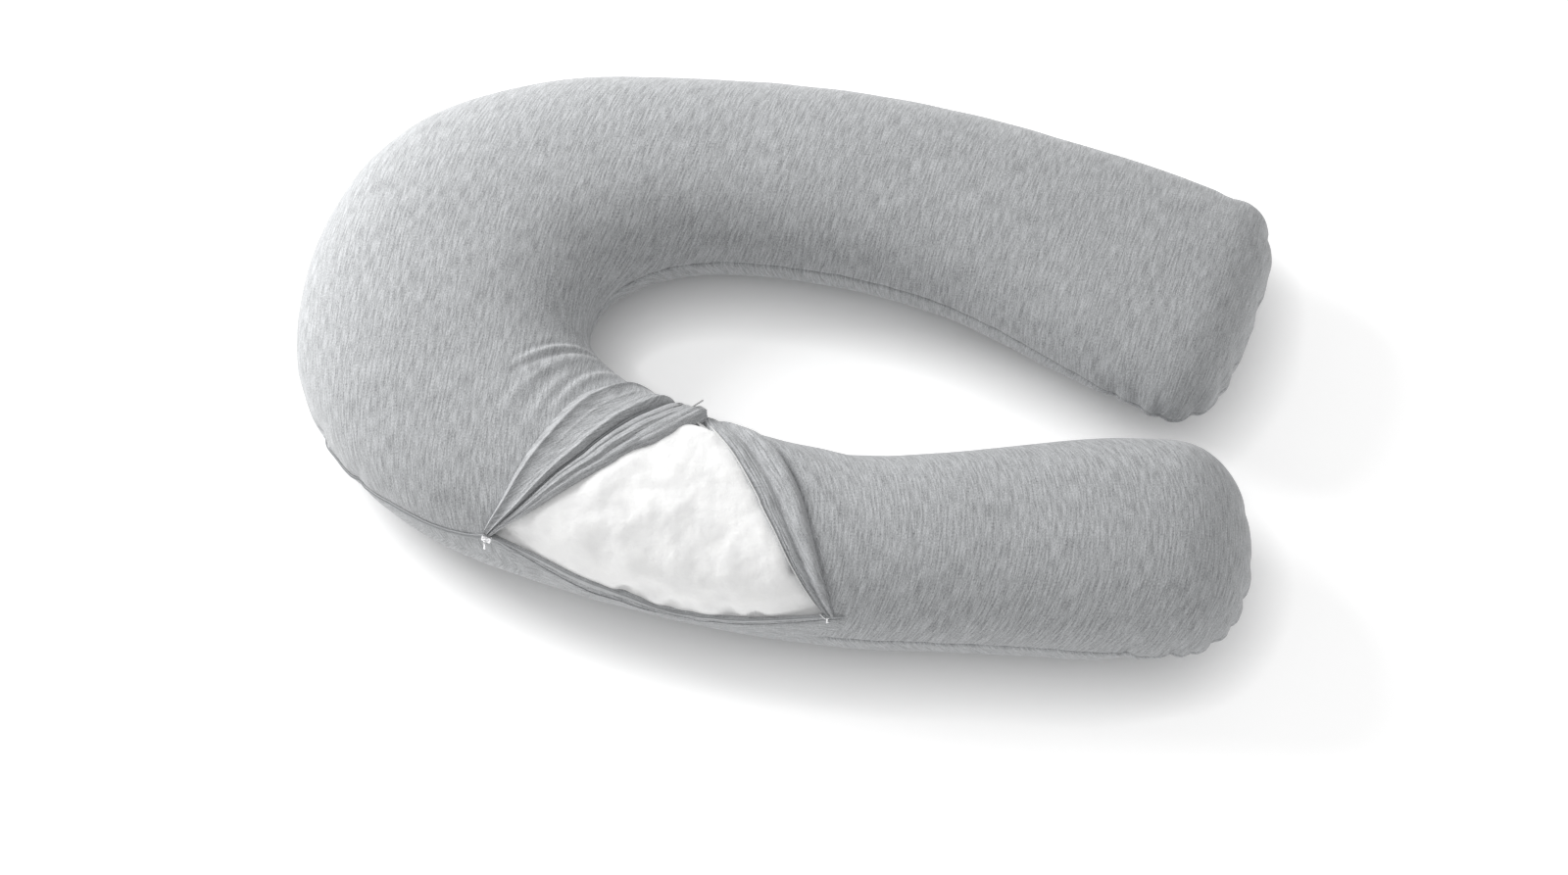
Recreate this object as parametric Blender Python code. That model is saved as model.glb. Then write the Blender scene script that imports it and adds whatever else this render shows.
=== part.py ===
# A U-shaped pillow in a knitted cover, lying flat. The zip on its outer seam is half open, the edge of the
# top panel is turned back from it in folds, and the fibre filling shows between the lips.
# Metres, +Z up. The mouth of the U points to +X, and the origin is the middle of the plan, on the floor.
import bmesh
import bpy
import numpy as np
from mathutils import Matrix, Vector

# The seam's line, in pairs of points across the pillow, from the tip of the near arm round the bend to the
# tip of the far arm. Columns: outer x, outer y, inner x, inner y, height of the crown
SECTIONS = (
    (0.562, -0.375, 0.568, -0.115, 0.170),
    (0.457, -0.383, 0.463, -0.103, 0.185),
    (0.340, -0.375, 0.340, -0.105, 0.185),
    (0.200, -0.366, 0.200, -0.120, 0.180),
    (0.045, -0.355, 0.075, -0.120, 0.175),
    (-0.112, -0.327, -0.048, -0.090, 0.180),
    (-0.270, -0.282, -0.164, -0.042, 0.190),
    (-0.463, -0.194, -0.228, 0.014, 0.195),
    (-0.600, 0.018, -0.240, 0.054, 0.200),
    (-0.526, 0.290, -0.225, 0.093, 0.200),
    (-0.318, 0.404, -0.190, 0.128, 0.195),
    (-0.113, 0.413, -0.107, 0.156, 0.190),
    (0.060, 0.398, 0.020, 0.148, 0.188),
    (0.216, 0.367, 0.144, 0.117, 0.185),
    (0.364, 0.322, 0.256, 0.068, 0.182),
    (0.499, 0.273, 0.361, 0.001, 0.178),
    (0.645, 0.211, 0.521, -0.101, 0.170),
)
SEAM_HEIGHT = 0.090
SEAM_DRAW = 0.0025
SQUARENESS = 2.3
FLATTENING = 1.12
CAP_LENGTH = 0.10
NEAR_BLUNTNESS = 2.4
FAR_BLUNTNESS = 3.0
# Round the arms' ends the underside is drawn in more sharply below the seam, over this length
TUCKED_SQUARENESS = 1.5
TUCK_LENGTH = 0.22

# How finely the solid is faceted. Angles run from the seam up to the crown, and from it down to the
# underside. The first ring of an arm's end lies a tenth of a step off its tip.
STATION_GAP = 0.032
CAP_STATIONS = 12
TIP_STEP = 0.1
UPPER_ANGLES = (0, 4, 14, 26, 38, 50, 62, 75, 90)
LOWER_ANGLES = (4, 14, 26, 40, 53, 62, 90)
SPINE_STEPS = 60
OUTLINE_POINTS = 1200
# Steps along and round the pillow from which the surface's normal is taken
NORMAL_STEP = 0.002
NORMAL_TURN = 1.0

# Gathers, where the seam is drawn in round the arms' ends and at the outside of the bend.
# Columns: x, y, depth, half width, reach up and down the side
PUCKERS = (
    (0.597, 0.172, 0.007, 0.013, 0.050),
    (0.601, 0.091, 0.005, 0.012, 0.040),
    (0.566, 0.010, 0.007, 0.013, 0.050),
    (0.504, -0.055, 0.006, 0.013, 0.045),
    (0.440, -0.048, 0.006, 0.013, 0.045),
    (0.558, -0.204, 0.005, 0.012, 0.040),
    (0.548, -0.305, 0.006, 0.013, 0.045),
    (0.520, -0.362, 0.006, 0.013, 0.045),
    (0.470, -0.380, 0.005, 0.012, 0.040),
    (0.410, -0.377, 0.005, 0.012, 0.040),
    (-0.563, -0.085, 0.004, 0.012, 0.030),
    (-0.516, -0.146, 0.004, 0.012, 0.030),
)

# The opening in the cover. Distances run along the middle line from the near arm's tip, and angles, in
# degrees, go round the section: 0 at the outer seam, 90 at the crown, 180 at the inner seam.
# Columns: distance, angle of the lower lip, angle of the upper edge
OPENING = (
    (0.853, 21, 30),
    (0.840, 19, 44),
    (0.821, 13, 60),
    (0.795, 4, 80),
    (0.757, -4, 100),
    (0.728, -8, 117),
    (0.703, -8, 140),
    (0.681, -7, 130),
    (0.656, -6, 120),
    (0.625, -3, 106),
    (0.603, 1, 95),
    (0.570, 7, 78),
    (0.547, 12, 61),
    (0.527, 17, 46),
    (0.511, 20, 34),
)

# The pocket that the opening shows, and the filling in it. Shares run from the section's middle, 1 being the
# surface of the closed pillow.
POCKET_FLOOR = 0.62
POCKET_TOP = 1.35
POCKET_MARGIN = 0.5
FILLING_MARGIN = -2.6
FILLING_FLOOR = 0.66
FILLING_EDGE = 0.955
FILLING_SWELL = 1.075
FILLING_COLUMNS = 14
# How steeply the swell rises from its ends, and from its edges: powers of a half sine
SWELL_ENDS = 0.4
SWELL_EDGES = 0.5
# Two crossing sets of waves make the lumps. Columns: wavelength, slower wave's share of its rate, sway
LUMP_SHARE = 0.03
LUMPS_ACROSS = (0.062, 0.6, 2.0)
LUMPS_ALONG = (0.041, 0.33, 1.5)

# The turned-back folds, from the opening's corner to where they fade out on the inner side.
# Columns: edge distance, edge angle, outer foot distance, outer foot angle, size of the folds
LEFT_FOLDS = (
    (0.856, 25, 0.866, 26, 0.30),
    (0.847, 37, 0.864, 37, 0.60),
    (0.828, 55, 0.862, 54, 0.90),
    (0.802, 75, 0.864, 75, 1.00),
    (0.768, 95, 0.863, 93, 1.00),
    (0.728, 117, 0.857, 112, 1.00),
    (0.704, 138, 0.840, 130, 0.95),
    (0.699, 153, 0.816, 149, 0.80),
    (0.712, 167, 0.783, 164, 0.40),
    (0.728, 178, 0.757, 176, 0.10),
)
RIGHT_FOLDS = (
    (0.500, 25, 0.490, 25, 0.30),
    (0.525, 45, 0.500, 45, 0.70),
    (0.550, 64, 0.511, 64, 0.90),
    (0.575, 81, 0.526, 83, 1.00),
    (0.606, 96, 0.545, 101, 1.00),
    (0.640, 113, 0.570, 120, 1.00),
    (0.668, 126, 0.602, 139, 1.00),
    (0.692, 140, 0.632, 152, 0.95),
    (0.697, 154, 0.655, 162, 0.60),
    (0.690, 168, 0.668, 172, 0.15),
)
LOWER_WELT = (
    (0.862, 21, 0.862, 15, 0.40),
    (0.845, 20, 0.845, 13, 0.80),
    (0.822, 14, 0.822, 6, 1.10),
    (0.795, 5, 0.795, -4, 1.60),
    (0.761, -3, 0.761, -12, 2.20),
    (0.718, -7, 0.718, -17, 2.60),
    (0.680, -7, 0.680, -17, 2.40),
    (0.651, -5, 0.651, -14, 2.00),
    (0.610, 0, 0.610, -9, 1.50),
    (0.575, 6, 0.575, -2, 1.20),
    (0.543, 12, 0.543, 5, 0.90),
    (0.498, 22, 0.498, 17, 0.40),
)
ROWS_PER_STEP = 2
FOLD_ROOT = -0.007

# Across the folds, from the edge of the opening outwards. Columns: share of the width, lift off the surface
LEFT_PROFILE = (
    (-0.03, 0.003),
    (0.03, 0.009),
    (0.14, 0.010),
    (0.24, 0.009),
    (0.33, 0.007),
    (0.36, 0.004),
    (0.42, 0.004),
    (0.45, 0.009),
    (0.50, 0.011),
    (0.55, 0.008),
    (0.64, 0.004),
    (0.80, 0.004),
    (0.88, 0.007),
    (0.92, 0.009),
    (0.96, 0.008),
    (1.00, -0.001),
)
RIGHT_PROFILE = (
    (-0.03, 0.003),
    (0.02, 0.006),
    (0.16, 0.006),
    (0.28, 0.010),
    (0.40, 0.008),
    (0.48, 0.003),
    (0.60, 0.008),
    (0.78, 0.011),
    (0.92, 0.008),
    (1.00, -0.001),
)
WELT_PROFILE = (
    (-0.10, 0.003),
    (0.00, 0.004),
    (0.60, 0.004),
    (0.85, 0.003),
    (1.00, -0.001),
)

# The zip. A tape lies on its fold between two shares of the fold's width.
TAPE_GAP = 0.0005
TAPE_THICKNESS = 0.0015
LEFT_TAPE = (0.37, 0.41)
RIGHT_TAPE = (0.03, 0.15)
LOWER_TAPE = (0.02, 0.58)
# The rows of its fold that each tape runs past
UPPER_TAPE_ROWS = slice(2, -5)
LOWER_TAPE_ROWS = slice(1, -1)
# Columns: distance, angle of the chain's middle
CHAIN_ROUTE = (
    (1.010, -4),
    (0.990, -3),
    (0.948, 5),
    (0.911, 10),
    (0.884, 15),
    (0.868, 20),
)
CHAIN_WIDTH = 0.007
CHAIN_LIFT = 0.0010
SLIDER_PLACE = (0.861, 22)
SLIDER_LIFT = 0.0050
SLIDER_SIZE = (0.012, 0.008, 0.005)
BRIDGE_RADIUS = 0.0030
BRIDGE_WIRE = 0.0007
RING_RADIUS = 0.0026
RING_WIRE = 0.0006
RING_PLACE = (0.0006, 0.0037)
TAB_SIZE = (0.0045, 0.011, 0.0014)
PULL_SLOPE = 18
STOP_PLACE = (0.493, 22)
STOP_LIFT = 0.0028
STOP_SIZE = (0.007, 0.004, 0.003)
BLOCK_BEVEL = 0.0006

COVER_COLOUR = (0.42, 0.43, 0.44)
FILLING_COLOUR = (0.92, 0.92, 0.91)
TAPE_COLOUR = (0.36, 0.37, 0.38)
METAL_COLOUR = (0.80, 0.80, 0.81)


def clear_scene():
    for item in list(bpy.data.objects):
        bpy.data.objects.remove(item, do_unlink=True)


def make_collection(name):
    group = bpy.data.collections.new(name)
    bpy.context.scene.collection.children.link(group)
    return group


def make_material(name, colour, roughness, metallic=0.0):
    material = bpy.data.materials.new(name)
    material.use_nodes = True
    shader = material.node_tree.nodes["Principled BSDF"]
    shader.inputs["Base Color"].default_value = (*colour, 1.0)
    shader.inputs["Roughness"].default_value = roughness
    shader.inputs["Metallic"].default_value = metallic
    material.diffuse_color = (*colour, 1.0)
    return material


def smooth_rows(table, per_step):
    """Rows of a table, with smooth rows between them (a natural cubic spline through each column)."""
    rows = np.asarray(table, float)
    inner = len(rows) - 2
    system = 4 * np.eye(inner) + np.eye(inner, k=1) + np.eye(inner, k=-1)
    bend = np.zeros_like(rows)
    bend[1:-1] = np.linalg.solve(system, rows[2:] - 2 * rows[1:-1] + rows[:-2])
    share = np.linspace(0, 1, per_step, endpoint=False)[:, None]
    rest = 1 - share
    out = []
    for here, ahead, bend_here, bend_ahead in zip(rows, rows[1:], bend, bend[1:]):
        straight = rest * here + share * ahead
        out.append(straight + (rest**3 - rest) * bend_here + (share**3 - share) * bend_ahead)
    out.append(rows[-1][None])
    return np.vstack(out)


class Spine:
    """The pillow's middle line, read by distance along it."""

    def __init__(self, table):
        rows = smooth_rows(table, SPINE_STEPS)
        outer, inner = rows[:, 0:2], rows[:, 2:4]
        self.middles = (outer + inner) / 2
        steps = np.linalg.norm(np.diff(self.middles, axis=0), axis=1)
        self.distance = np.r_[0, np.cumsum(steps)]
        self.length = float(self.distance[-1])
        self.columns = np.c_[self.middles, (outer - inner) / 2, rows[:, 4]].T

    def at(self, distance):
        """Middle point, vector from it to the outer seam, and crown height."""
        row = np.stack([np.interp(distance, self.distance, column) for column in self.columns], axis=-1)
        return row[..., 0:2], row[..., 2:4], row[..., 4]


SPINE = Spine(SECTIONS)


def bluntness(distance):
    return np.where(distance < SPINE.length / 2, NEAR_BLUNTNESS, FAR_BLUNTNESS)


def cap_share(distance):
    """How much of the full section is left near the arms' rounded ends."""
    near = np.clip(np.minimum(distance, SPINE.length - distance) / CAP_LENGTH, 0, 1)
    power = bluntness(distance)
    return (1 - (1 - near) ** power) ** (1 / power)


def squareness(distance, below):
    """How square the section is: less below the seam, towards the arms' ends."""
    near = np.minimum(distance, SPINE.length - distance) / TUCK_LENGTH
    full = np.clip(2 * near - 1, 0, 1)
    return np.where(below, TUCKED_SQUARENESS + (SQUARENESS - TUCKED_SQUARENESS) * full, SQUARENESS)


def skin(distance, angle):
    """Points of the closed pillow's surface, before its gathers."""
    distance, angle = np.broadcast_arrays(np.asarray(distance, float), np.radians(np.asarray(angle, float)))
    middle, reach, crown = SPINE.at(distance)
    share = cap_share(distance)
    power = 2 / squareness(distance, np.sin(angle) < 0)
    across = share * np.sign(np.cos(angle)) * np.abs(np.cos(angle)) ** power
    rise = share * np.abs(np.sin(angle)) ** power
    above = SEAM_HEIGHT + (crown - SEAM_HEIGHT) * rise
    below = np.maximum(SEAM_HEIGHT - SEAM_HEIGHT * FLATTENING * rise, 0.0)
    height = np.where(np.sin(angle) >= 0, above, below)
    plan = middle + across[..., None] * reach
    return np.concatenate([plan, height[..., None]], axis=-1)


def skin_along(distance, angle):
    return skin(distance + NORMAL_STEP, angle) - skin(distance - NORMAL_STEP, angle)


def skin_normal(distance, angle):
    around = skin(distance, angle + NORMAL_TURN) - skin(distance, angle - NORMAL_TURN)
    normal = np.cross(around, skin_along(distance, angle))
    return normal / np.linalg.norm(normal, axis=-1)[..., None]


def lifted(distance, angle, lift):
    """Points at a height off the surface, along its normal."""
    distance, angle, lift = np.broadcast_arrays(
        np.asarray(distance, float), np.asarray(angle, float), np.asarray(lift, float)
    )
    return skin(distance, angle) + lift[..., None] * skin_normal(distance, angle)


def along_ray(distance, angle, share):
    """Points on the rays from the section's middle through the surface, by their share of the way."""
    plan = SPINE.at(distance)[0]
    middle = np.concatenate([plan, np.full(plan.shape[:-1] + (1,), SEAM_HEIGHT)], axis=-1)
    return middle + np.asarray(share)[..., None] * (skin(distance, angle) - middle)


def stations():
    """Distances of the sections: evenly spaced along the arms, closer round their ends."""
    turn = np.radians(90) * np.arange(CAP_STATIONS + 1) / CAP_STATIONS
    turn[0] = turn[1] * TIP_STEP
    near = CAP_LENGTH * (1 - np.cos(turn) ** (2 / NEAR_BLUNTNESS))
    far = SPINE.length - CAP_LENGTH * (1 - np.cos(turn) ** (2 / FAR_BLUNTNESS))
    straight = SPINE.length - 2 * CAP_LENGTH
    count = int(round(straight / STATION_GAP))
    middle = CAP_LENGTH + straight * np.arange(1, count) / count
    return np.r_[near, middle, far[::-1]]


def section_angles():
    upper = list(UPPER_ANGLES) + [180 - a for a in reversed(UPPER_ANGLES[:-1])]
    lower = [180 + a for a in LOWER_ANGLES] + [360 - a for a in reversed(LOWER_ANGLES[:-1])]
    return np.array(upper + lower, float)


def gather(points):
    """Draws the surface in at the gathers, as soft troughs that cross the seam."""
    points = points.copy()
    for x, y, depth, half_width, reach in PUCKERS:
        spot = np.array([x, y])
        near = SPINE.distance[np.argmin(np.linalg.norm(SPINE.middles - spot, axis=1))]
        anchor = SPINE.at(np.clip(near, CAP_LENGTH, SPINE.length - CAP_LENGTH))[0]
        inward = (anchor - spot) / np.linalg.norm(anchor - spot)
        offset = points[..., :2] - spot
        along = offset @ inward
        aside = offset @ np.array([-inward[1], inward[0]])
        upright = (points[..., 2] - SEAM_HEIGHT) / reach
        strength = np.exp(-((aside / half_width) ** 2) - (along / reach) ** 2 - upright**2)
        points[..., :2] += (depth * strength)[..., None] * inward
    return points


def plan_middle():
    """The middle of the pillow's outline, which becomes the origin."""
    distance = np.linspace(0, SPINE.length, OUTLINE_POINTS)[:, None]
    seam = skin(distance, np.array([0.0, 180.0])).reshape(-1, 3)
    middle = (seam.min(axis=0) + seam.max(axis=0)) / 2
    return np.array([middle[0], middle[1], 0.0])


MIDDLE = plan_middle()


def add_object(name, mesh, collection, material):
    item = bpy.data.objects.new(name, mesh)
    collection.objects.link(item)
    if material:
        mesh.materials.append(material)
    return item


def loft(name, rings, collection, material=None, smooth=True):
    """A closed solid through rings of points, each end closed round its own middle."""
    rings = np.asarray(rings, float) - MIDDLE
    mesh = bpy.data.meshes.new(name)
    shape = bmesh.new()
    loops = [[shape.verts.new(point) for point in ring] for ring in rings]
    for here, ahead in zip(loops, loops[1:]):
        for k in range(len(here)):
            after = (k + 1) % len(here)
            shape.faces.new((here[k], here[after], ahead[after]))
            shape.faces.new((here[k], ahead[after], ahead[k]))
    for loop, ring in ((loops[0], rings[0]), (loops[-1], rings[-1])):
        hub = shape.verts.new(ring.mean(axis=0))
        for k in range(len(loop)):
            shape.faces.new((loop[k], hub, loop[(k + 1) % len(loop)]))
    bmesh.ops.recalc_face_normals(shape, faces=shape.faces)
    shape.to_mesh(mesh)
    shape.free()
    if smooth:
        mesh.shade_smooth()
    return add_object(name, mesh, collection, material)


def hide_guide(item):
    item.hide_render = True
    item.display_type = "WIRE"


def join_to(item, other, operation):
    modifier = item.modifiers.new(f"{operation.lower()} {other.name}", "BOOLEAN")
    modifier.operation = operation
    modifier.solver = "EXACT"
    modifier.object = other


def fold_grid(table, shares):
    """Distances, angles and sizes for each row of a fold and each share of its width."""
    rows = smooth_rows(table, ROWS_PER_STEP)[:, :, None]
    shares = np.asarray(shares, float)[None, :]
    distance = rows[:, 0] + (rows[:, 2] - rows[:, 0]) * shares
    angle = rows[:, 1] + (rows[:, 3] - rows[:, 1]) * shares
    size = np.broadcast_to(rows[:, 4], distance.shape)
    return distance, angle, size


def make_fold(name, table, profile, guides):
    """A fold's body, rooted under the surface so that it joins the cover."""
    shares = [share for share, _ in profile]
    lifts = np.array([lift for _, lift in profile])
    distance, angle, size = fold_grid(table, shares)
    top = lifted(distance, angle, lifts * size)
    root = lifted(distance, angle, np.full_like(distance, FOLD_ROOT))[:, ::-1]
    fold = loft(name, np.concatenate([top, root[:, ::2]], axis=1), guides)
    hide_guide(fold)
    return fold


def opening_ring(row, margin, floor, top):
    """One section across the opening: an arc near the surface, and one deep inside the pillow."""
    distance, low, high = row
    angle = np.linspace(low - margin, high + margin, FILLING_COLUMNS)
    distance = np.full(FILLING_COLUMNS, distance)
    outer = along_ray(distance, angle, top)
    inner = along_ray(distance, angle, np.full(FILLING_COLUMNS, floor))
    return np.concatenate([outer, inner[::-1]])


def make_pocket(guides):
    """The room in the cover that the filling shows in."""
    top = np.full(FILLING_COLUMNS, POCKET_TOP)
    rows = smooth_rows(OPENING, ROWS_PER_STEP)
    rings = [opening_ring(row, POCKET_MARGIN, POCKET_FLOOR, top) for row in rows]
    pocket = loft("pocket", rings, guides)
    hide_guide(pocket)
    return pocket


def lumps(points):
    """Gentle unevenness of loose fibre, from -1 to 1."""
    x, y = points[..., 0], points[..., 1]
    waves = 1.0
    for (length, slower, sway), here, aside in ((LUMPS_ACROSS, x, y), (LUMPS_ALONG, y, x)):
        rate = 2 * np.pi / length
        waves = waves * np.sin(rate * here + sway * np.sin(slower * rate * aside))
    return waves


def make_filling(collection, material):
    """Loose fibre that swells out of the opening, lowest beside the lips."""
    rows = smooth_rows(OPENING, ROWS_PER_STEP)[1:-1]
    along = np.sin(np.linspace(0, np.pi, len(rows))) ** SWELL_ENDS
    across = np.sin(np.linspace(0, np.pi, FILLING_COLUMNS)) ** SWELL_EDGES
    rings = []
    for row, size in zip(rows, along):
        angle = np.linspace(row[1], row[2], FILLING_COLUMNS)
        swell = size * across
        unevenness = LUMP_SHARE * lumps(skin(row[0], angle))
        top = FILLING_EDGE + swell * (FILLING_SWELL - FILLING_EDGE + unevenness)
        rings.append(opening_ring(row, FILLING_MARGIN, FILLING_FLOOR, top))
    return loft("filling", rings, collection, material)


def make_cover(collection, guides, material):
    distance = stations()[:, None]
    angle = section_angles()[None, :]
    points = skin(distance, angle)
    outward = SPINE.at(distance)[1]
    outward = outward / np.linalg.norm(outward, axis=-1)[..., None]
    drawn = SEAM_DRAW * np.where(angle % 180 == 0, np.cos(np.radians(angle)), 0.0)
    points[..., :2] -= drawn[..., None] * outward
    cover = loft("pillow_cover", gather(points), collection, material)
    for name, table, profile in (
        ("left_folds", LEFT_FOLDS, LEFT_PROFILE),
        ("right_folds", RIGHT_FOLDS, RIGHT_PROFILE),
        ("lower_welt", LOWER_WELT, WELT_PROFILE),
    ):
        join_to(cover, make_fold(name, table, profile, guides), "UNION")
    join_to(cover, make_pocket(guides), "DIFFERENCE")
    return cover


def profile_lift(profile, shares):
    columns = np.array(profile)
    return np.interp(shares, columns[:, 0], columns[:, 1])


def make_tape(name, table, profile, band, collection, material, rows):
    """A flat strip that follows its fold, just clear of it."""
    distance, angle, size = fold_grid(table, band)
    floor = profile_lift(profile, band)[None, :] * size + TAPE_GAP
    under = lifted(distance, angle, floor)[rows]
    over = lifted(distance, angle, floor + TAPE_THICKNESS)[rows]
    rings = np.stack([under[:, 0], under[:, 1], over[:, 1], over[:, 0]], axis=1)
    return loft(name, rings, collection, material, smooth=False)


def make_chain(collection, material):
    rows = smooth_rows(CHAIN_ROUTE, ROWS_PER_STEP)
    middle = lifted(rows[:, 0], rows[:, 1], CHAIN_LIFT)
    normal = skin_normal(rows[:, 0], rows[:, 1])
    along = np.gradient(middle, axis=0)
    across = np.cross(along, normal)
    across *= CHAIN_WIDTH / 2 / np.linalg.norm(across, axis=1)[:, None]
    up = normal * TAPE_THICKNESS
    rings = np.stack([middle - across, middle + across, middle + across + up, middle - across + up], axis=1)
    return loft("zip_chain_closed", rings, collection, material, smooth=False)


def rest_frame(place, lift):
    """Axes on the surface: X along the zip, Y down the pillow's side, Z off the surface."""
    distance, angle = place
    along = Vector(skin_along(distance, angle)).normalized()
    normal = Vector(skin_normal(distance, angle))
    down = normal.cross(along)
    frame = Matrix((along, down, normal)).transposed().to_4x4()
    frame.translation = Vector(lifted(distance, angle, lift) - MIDDLE)
    return frame


def bevelled_block(name, size, collection, material):
    shape = bmesh.new()
    bmesh.ops.create_cube(shape, size=1.0)
    bmesh.ops.scale(shape, vec=size, verts=shape.verts)
    bmesh.ops.bevel(shape, geom=shape.edges, offset=BLOCK_BEVEL, segments=2, affect="EDGES", profile=0.5)
    mesh = bpy.data.meshes.new(name)
    shape.to_mesh(mesh)
    shape.free()
    return add_object(name, mesh, collection, material)


def wire_ring(name, radius, wire, collection):
    bpy.ops.mesh.primitive_torus_add(
        major_radius=radius, minor_radius=wire, major_segments=20, minor_segments=8
    )
    ring = bpy.context.object
    ring.name = name
    for group in list(ring.users_collection):
        group.objects.unlink(ring)
    collection.objects.link(ring)
    hide_guide(ring)
    return ring


def make_slider(collection, guides, material):
    """The slider's body, with the bridge that holds the pull's ring."""
    frame = rest_frame(SLIDER_PLACE, SLIDER_LIFT)
    slider = bevelled_block("zip_slider", SLIDER_SIZE, collection, material)
    slider.matrix_world = frame
    bridge = wire_ring("bridge", BRIDGE_RADIUS, BRIDGE_WIRE, guides)
    stand = Matrix.Translation((0, 0, SLIDER_SIZE[2] / 2)) @ Matrix.Rotation(np.radians(90), 4, "X")
    bridge.matrix_world = frame @ stand
    join_to(slider, bridge, "UNION")


def make_pull(collection, guides, material):
    """The ring through the bridge and the tab that hangs from it down the pillow's side."""
    down, up = RING_PLACE
    middle = Matrix.Translation((0, down, SLIDER_SIZE[2] / 2 + up))
    frame = rest_frame(SLIDER_PLACE, SLIDER_LIFT) @ middle
    ring = wire_ring("pull_ring", RING_RADIUS, RING_WIRE, guides)
    ring.matrix_world = frame @ Matrix.Rotation(np.radians(90), 4, "Y")
    slope = Matrix.Rotation(np.radians(-PULL_SLOPE), 4, "X")
    tab = bevelled_block("zip_pull", TAB_SIZE, collection, material)
    tab.matrix_world = frame @ slope @ Matrix.Translation((0, RING_RADIUS + TAB_SIZE[1] / 2 - RING_WIRE, 0))
    join_to(tab, ring, "UNION")


def make_stop(collection, material):
    stop = bevelled_block("zip_stop", STOP_SIZE, collection, material)
    stop.matrix_world = rest_frame(STOP_PLACE, STOP_LIFT)


clear_scene()
parts = make_collection("u_shaped_pillow")
guides = make_collection("guides")

cloth = make_material("grey knit", COVER_COLOUR, 0.9)
fibre = make_material("white fibre", FILLING_COLOUR, 0.95)
tape = make_material("zip tape", TAPE_COLOUR, 0.7)
metal = make_material("bright metal", METAL_COLOUR, 0.25, metallic=1.0)

make_cover(parts, guides, cloth)
make_filling(parts, fibre)
make_chain(parts, tape)
make_tape("zip_tape_upper_left", LEFT_FOLDS, LEFT_PROFILE, LEFT_TAPE, parts, tape, UPPER_TAPE_ROWS)
make_tape("zip_tape_upper_right", RIGHT_FOLDS, RIGHT_PROFILE, RIGHT_TAPE, parts, tape, UPPER_TAPE_ROWS)
make_tape("zip_tape_lower", LOWER_WELT, WELT_PROFILE, LOWER_TAPE, parts, tape, LOWER_TAPE_ROWS)
make_slider(parts, guides, metal)
make_pull(parts, guides, metal)
make_stop(parts, metal)
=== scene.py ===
import bmesh
import bpy
import numpy as np
from mathutils import Matrix, Vector


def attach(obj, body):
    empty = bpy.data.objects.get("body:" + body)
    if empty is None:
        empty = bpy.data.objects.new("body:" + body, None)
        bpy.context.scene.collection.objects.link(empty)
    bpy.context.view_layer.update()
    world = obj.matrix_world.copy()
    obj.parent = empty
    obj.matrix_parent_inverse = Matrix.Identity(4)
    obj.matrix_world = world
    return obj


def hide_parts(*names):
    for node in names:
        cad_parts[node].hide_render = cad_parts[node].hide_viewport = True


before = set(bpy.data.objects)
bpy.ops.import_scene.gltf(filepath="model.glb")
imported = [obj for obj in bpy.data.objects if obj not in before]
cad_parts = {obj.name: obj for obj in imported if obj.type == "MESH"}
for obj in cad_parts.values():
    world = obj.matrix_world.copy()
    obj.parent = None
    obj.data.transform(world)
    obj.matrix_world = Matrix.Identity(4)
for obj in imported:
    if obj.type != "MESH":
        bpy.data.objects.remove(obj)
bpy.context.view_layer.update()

# ---- the pillow's shape ----
# The seam's line, in pairs of points across the pillow, from the tip of the near arm round the bend to the
# tip of the far arm. Columns: outer x, outer y, inner x, inner y, height of the crown
SECTIONS = (
    (0.562, -0.375, 0.568, -0.115, 0.170),
    (0.457, -0.383, 0.463, -0.103, 0.185),
    (0.340, -0.375, 0.340, -0.105, 0.185),
    (0.200, -0.366, 0.200, -0.120, 0.180),
    (0.045, -0.355, 0.075, -0.120, 0.175),
    (-0.112, -0.327, -0.048, -0.090, 0.180),
    (-0.270, -0.282, -0.164, -0.042, 0.190),
    (-0.463, -0.194, -0.228, 0.014, 0.195),
    (-0.600, 0.018, -0.240, 0.054, 0.200),
    (-0.526, 0.290, -0.225, 0.093, 0.200),
    (-0.318, 0.404, -0.190, 0.128, 0.195),
    (-0.113, 0.413, -0.107, 0.156, 0.190),
    (0.060, 0.398, 0.020, 0.148, 0.188),
    (0.216, 0.367, 0.144, 0.117, 0.185),
    (0.364, 0.322, 0.256, 0.068, 0.182),
    (0.499, 0.273, 0.361, 0.001, 0.178),
    (0.645, 0.211, 0.521, -0.101, 0.170),
)

# The section is a superellipse, pressed flat below and less square there over the last stretch of each arm
SEAM_HEIGHT = 0.090
SQUARENESS = 2.3
TUCKED_SQUARENESS = 1.5
TUCK_LENGTH = 0.22
FLATTENING = 1.12

# A round arm's radius, to turn degrees round the section into metres
ARM_RADIUS = 0.115

# The rounding of the arms' ends
CAP_LENGTH = 0.10
NEAR_BLUNTNESS = 2.4
FAR_BLUNTNESS = 3.0

# The opening. Columns: distance along the pillow, angle of the lower lip, angle of the upper edge. Angles go
# round the section in degrees: 0 at the outer seam, 90 at the crown, 180 at the inner seam.
OPENING = (
    (0.858, 23.5, 26),
    (0.853, 24, 30),
    (0.840, 23.8, 44),
    (0.821, 21.5, 60),
    (0.795, 16.8, 80),
    (0.757, 12.2, 100),
    (0.728, 10, 117),
    (0.703, 7.8, 140),
    (0.681, 5, 130),
    (0.656, 3.5, 120),
    (0.625, 5.5, 106),
    (0.603, 8.4, 95),
    (0.570, 13.7, 78),
    (0.547, 18, 61),
    (0.527, 21.5, 46),
    (0.503, 24.6, 30.5),
)

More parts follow.
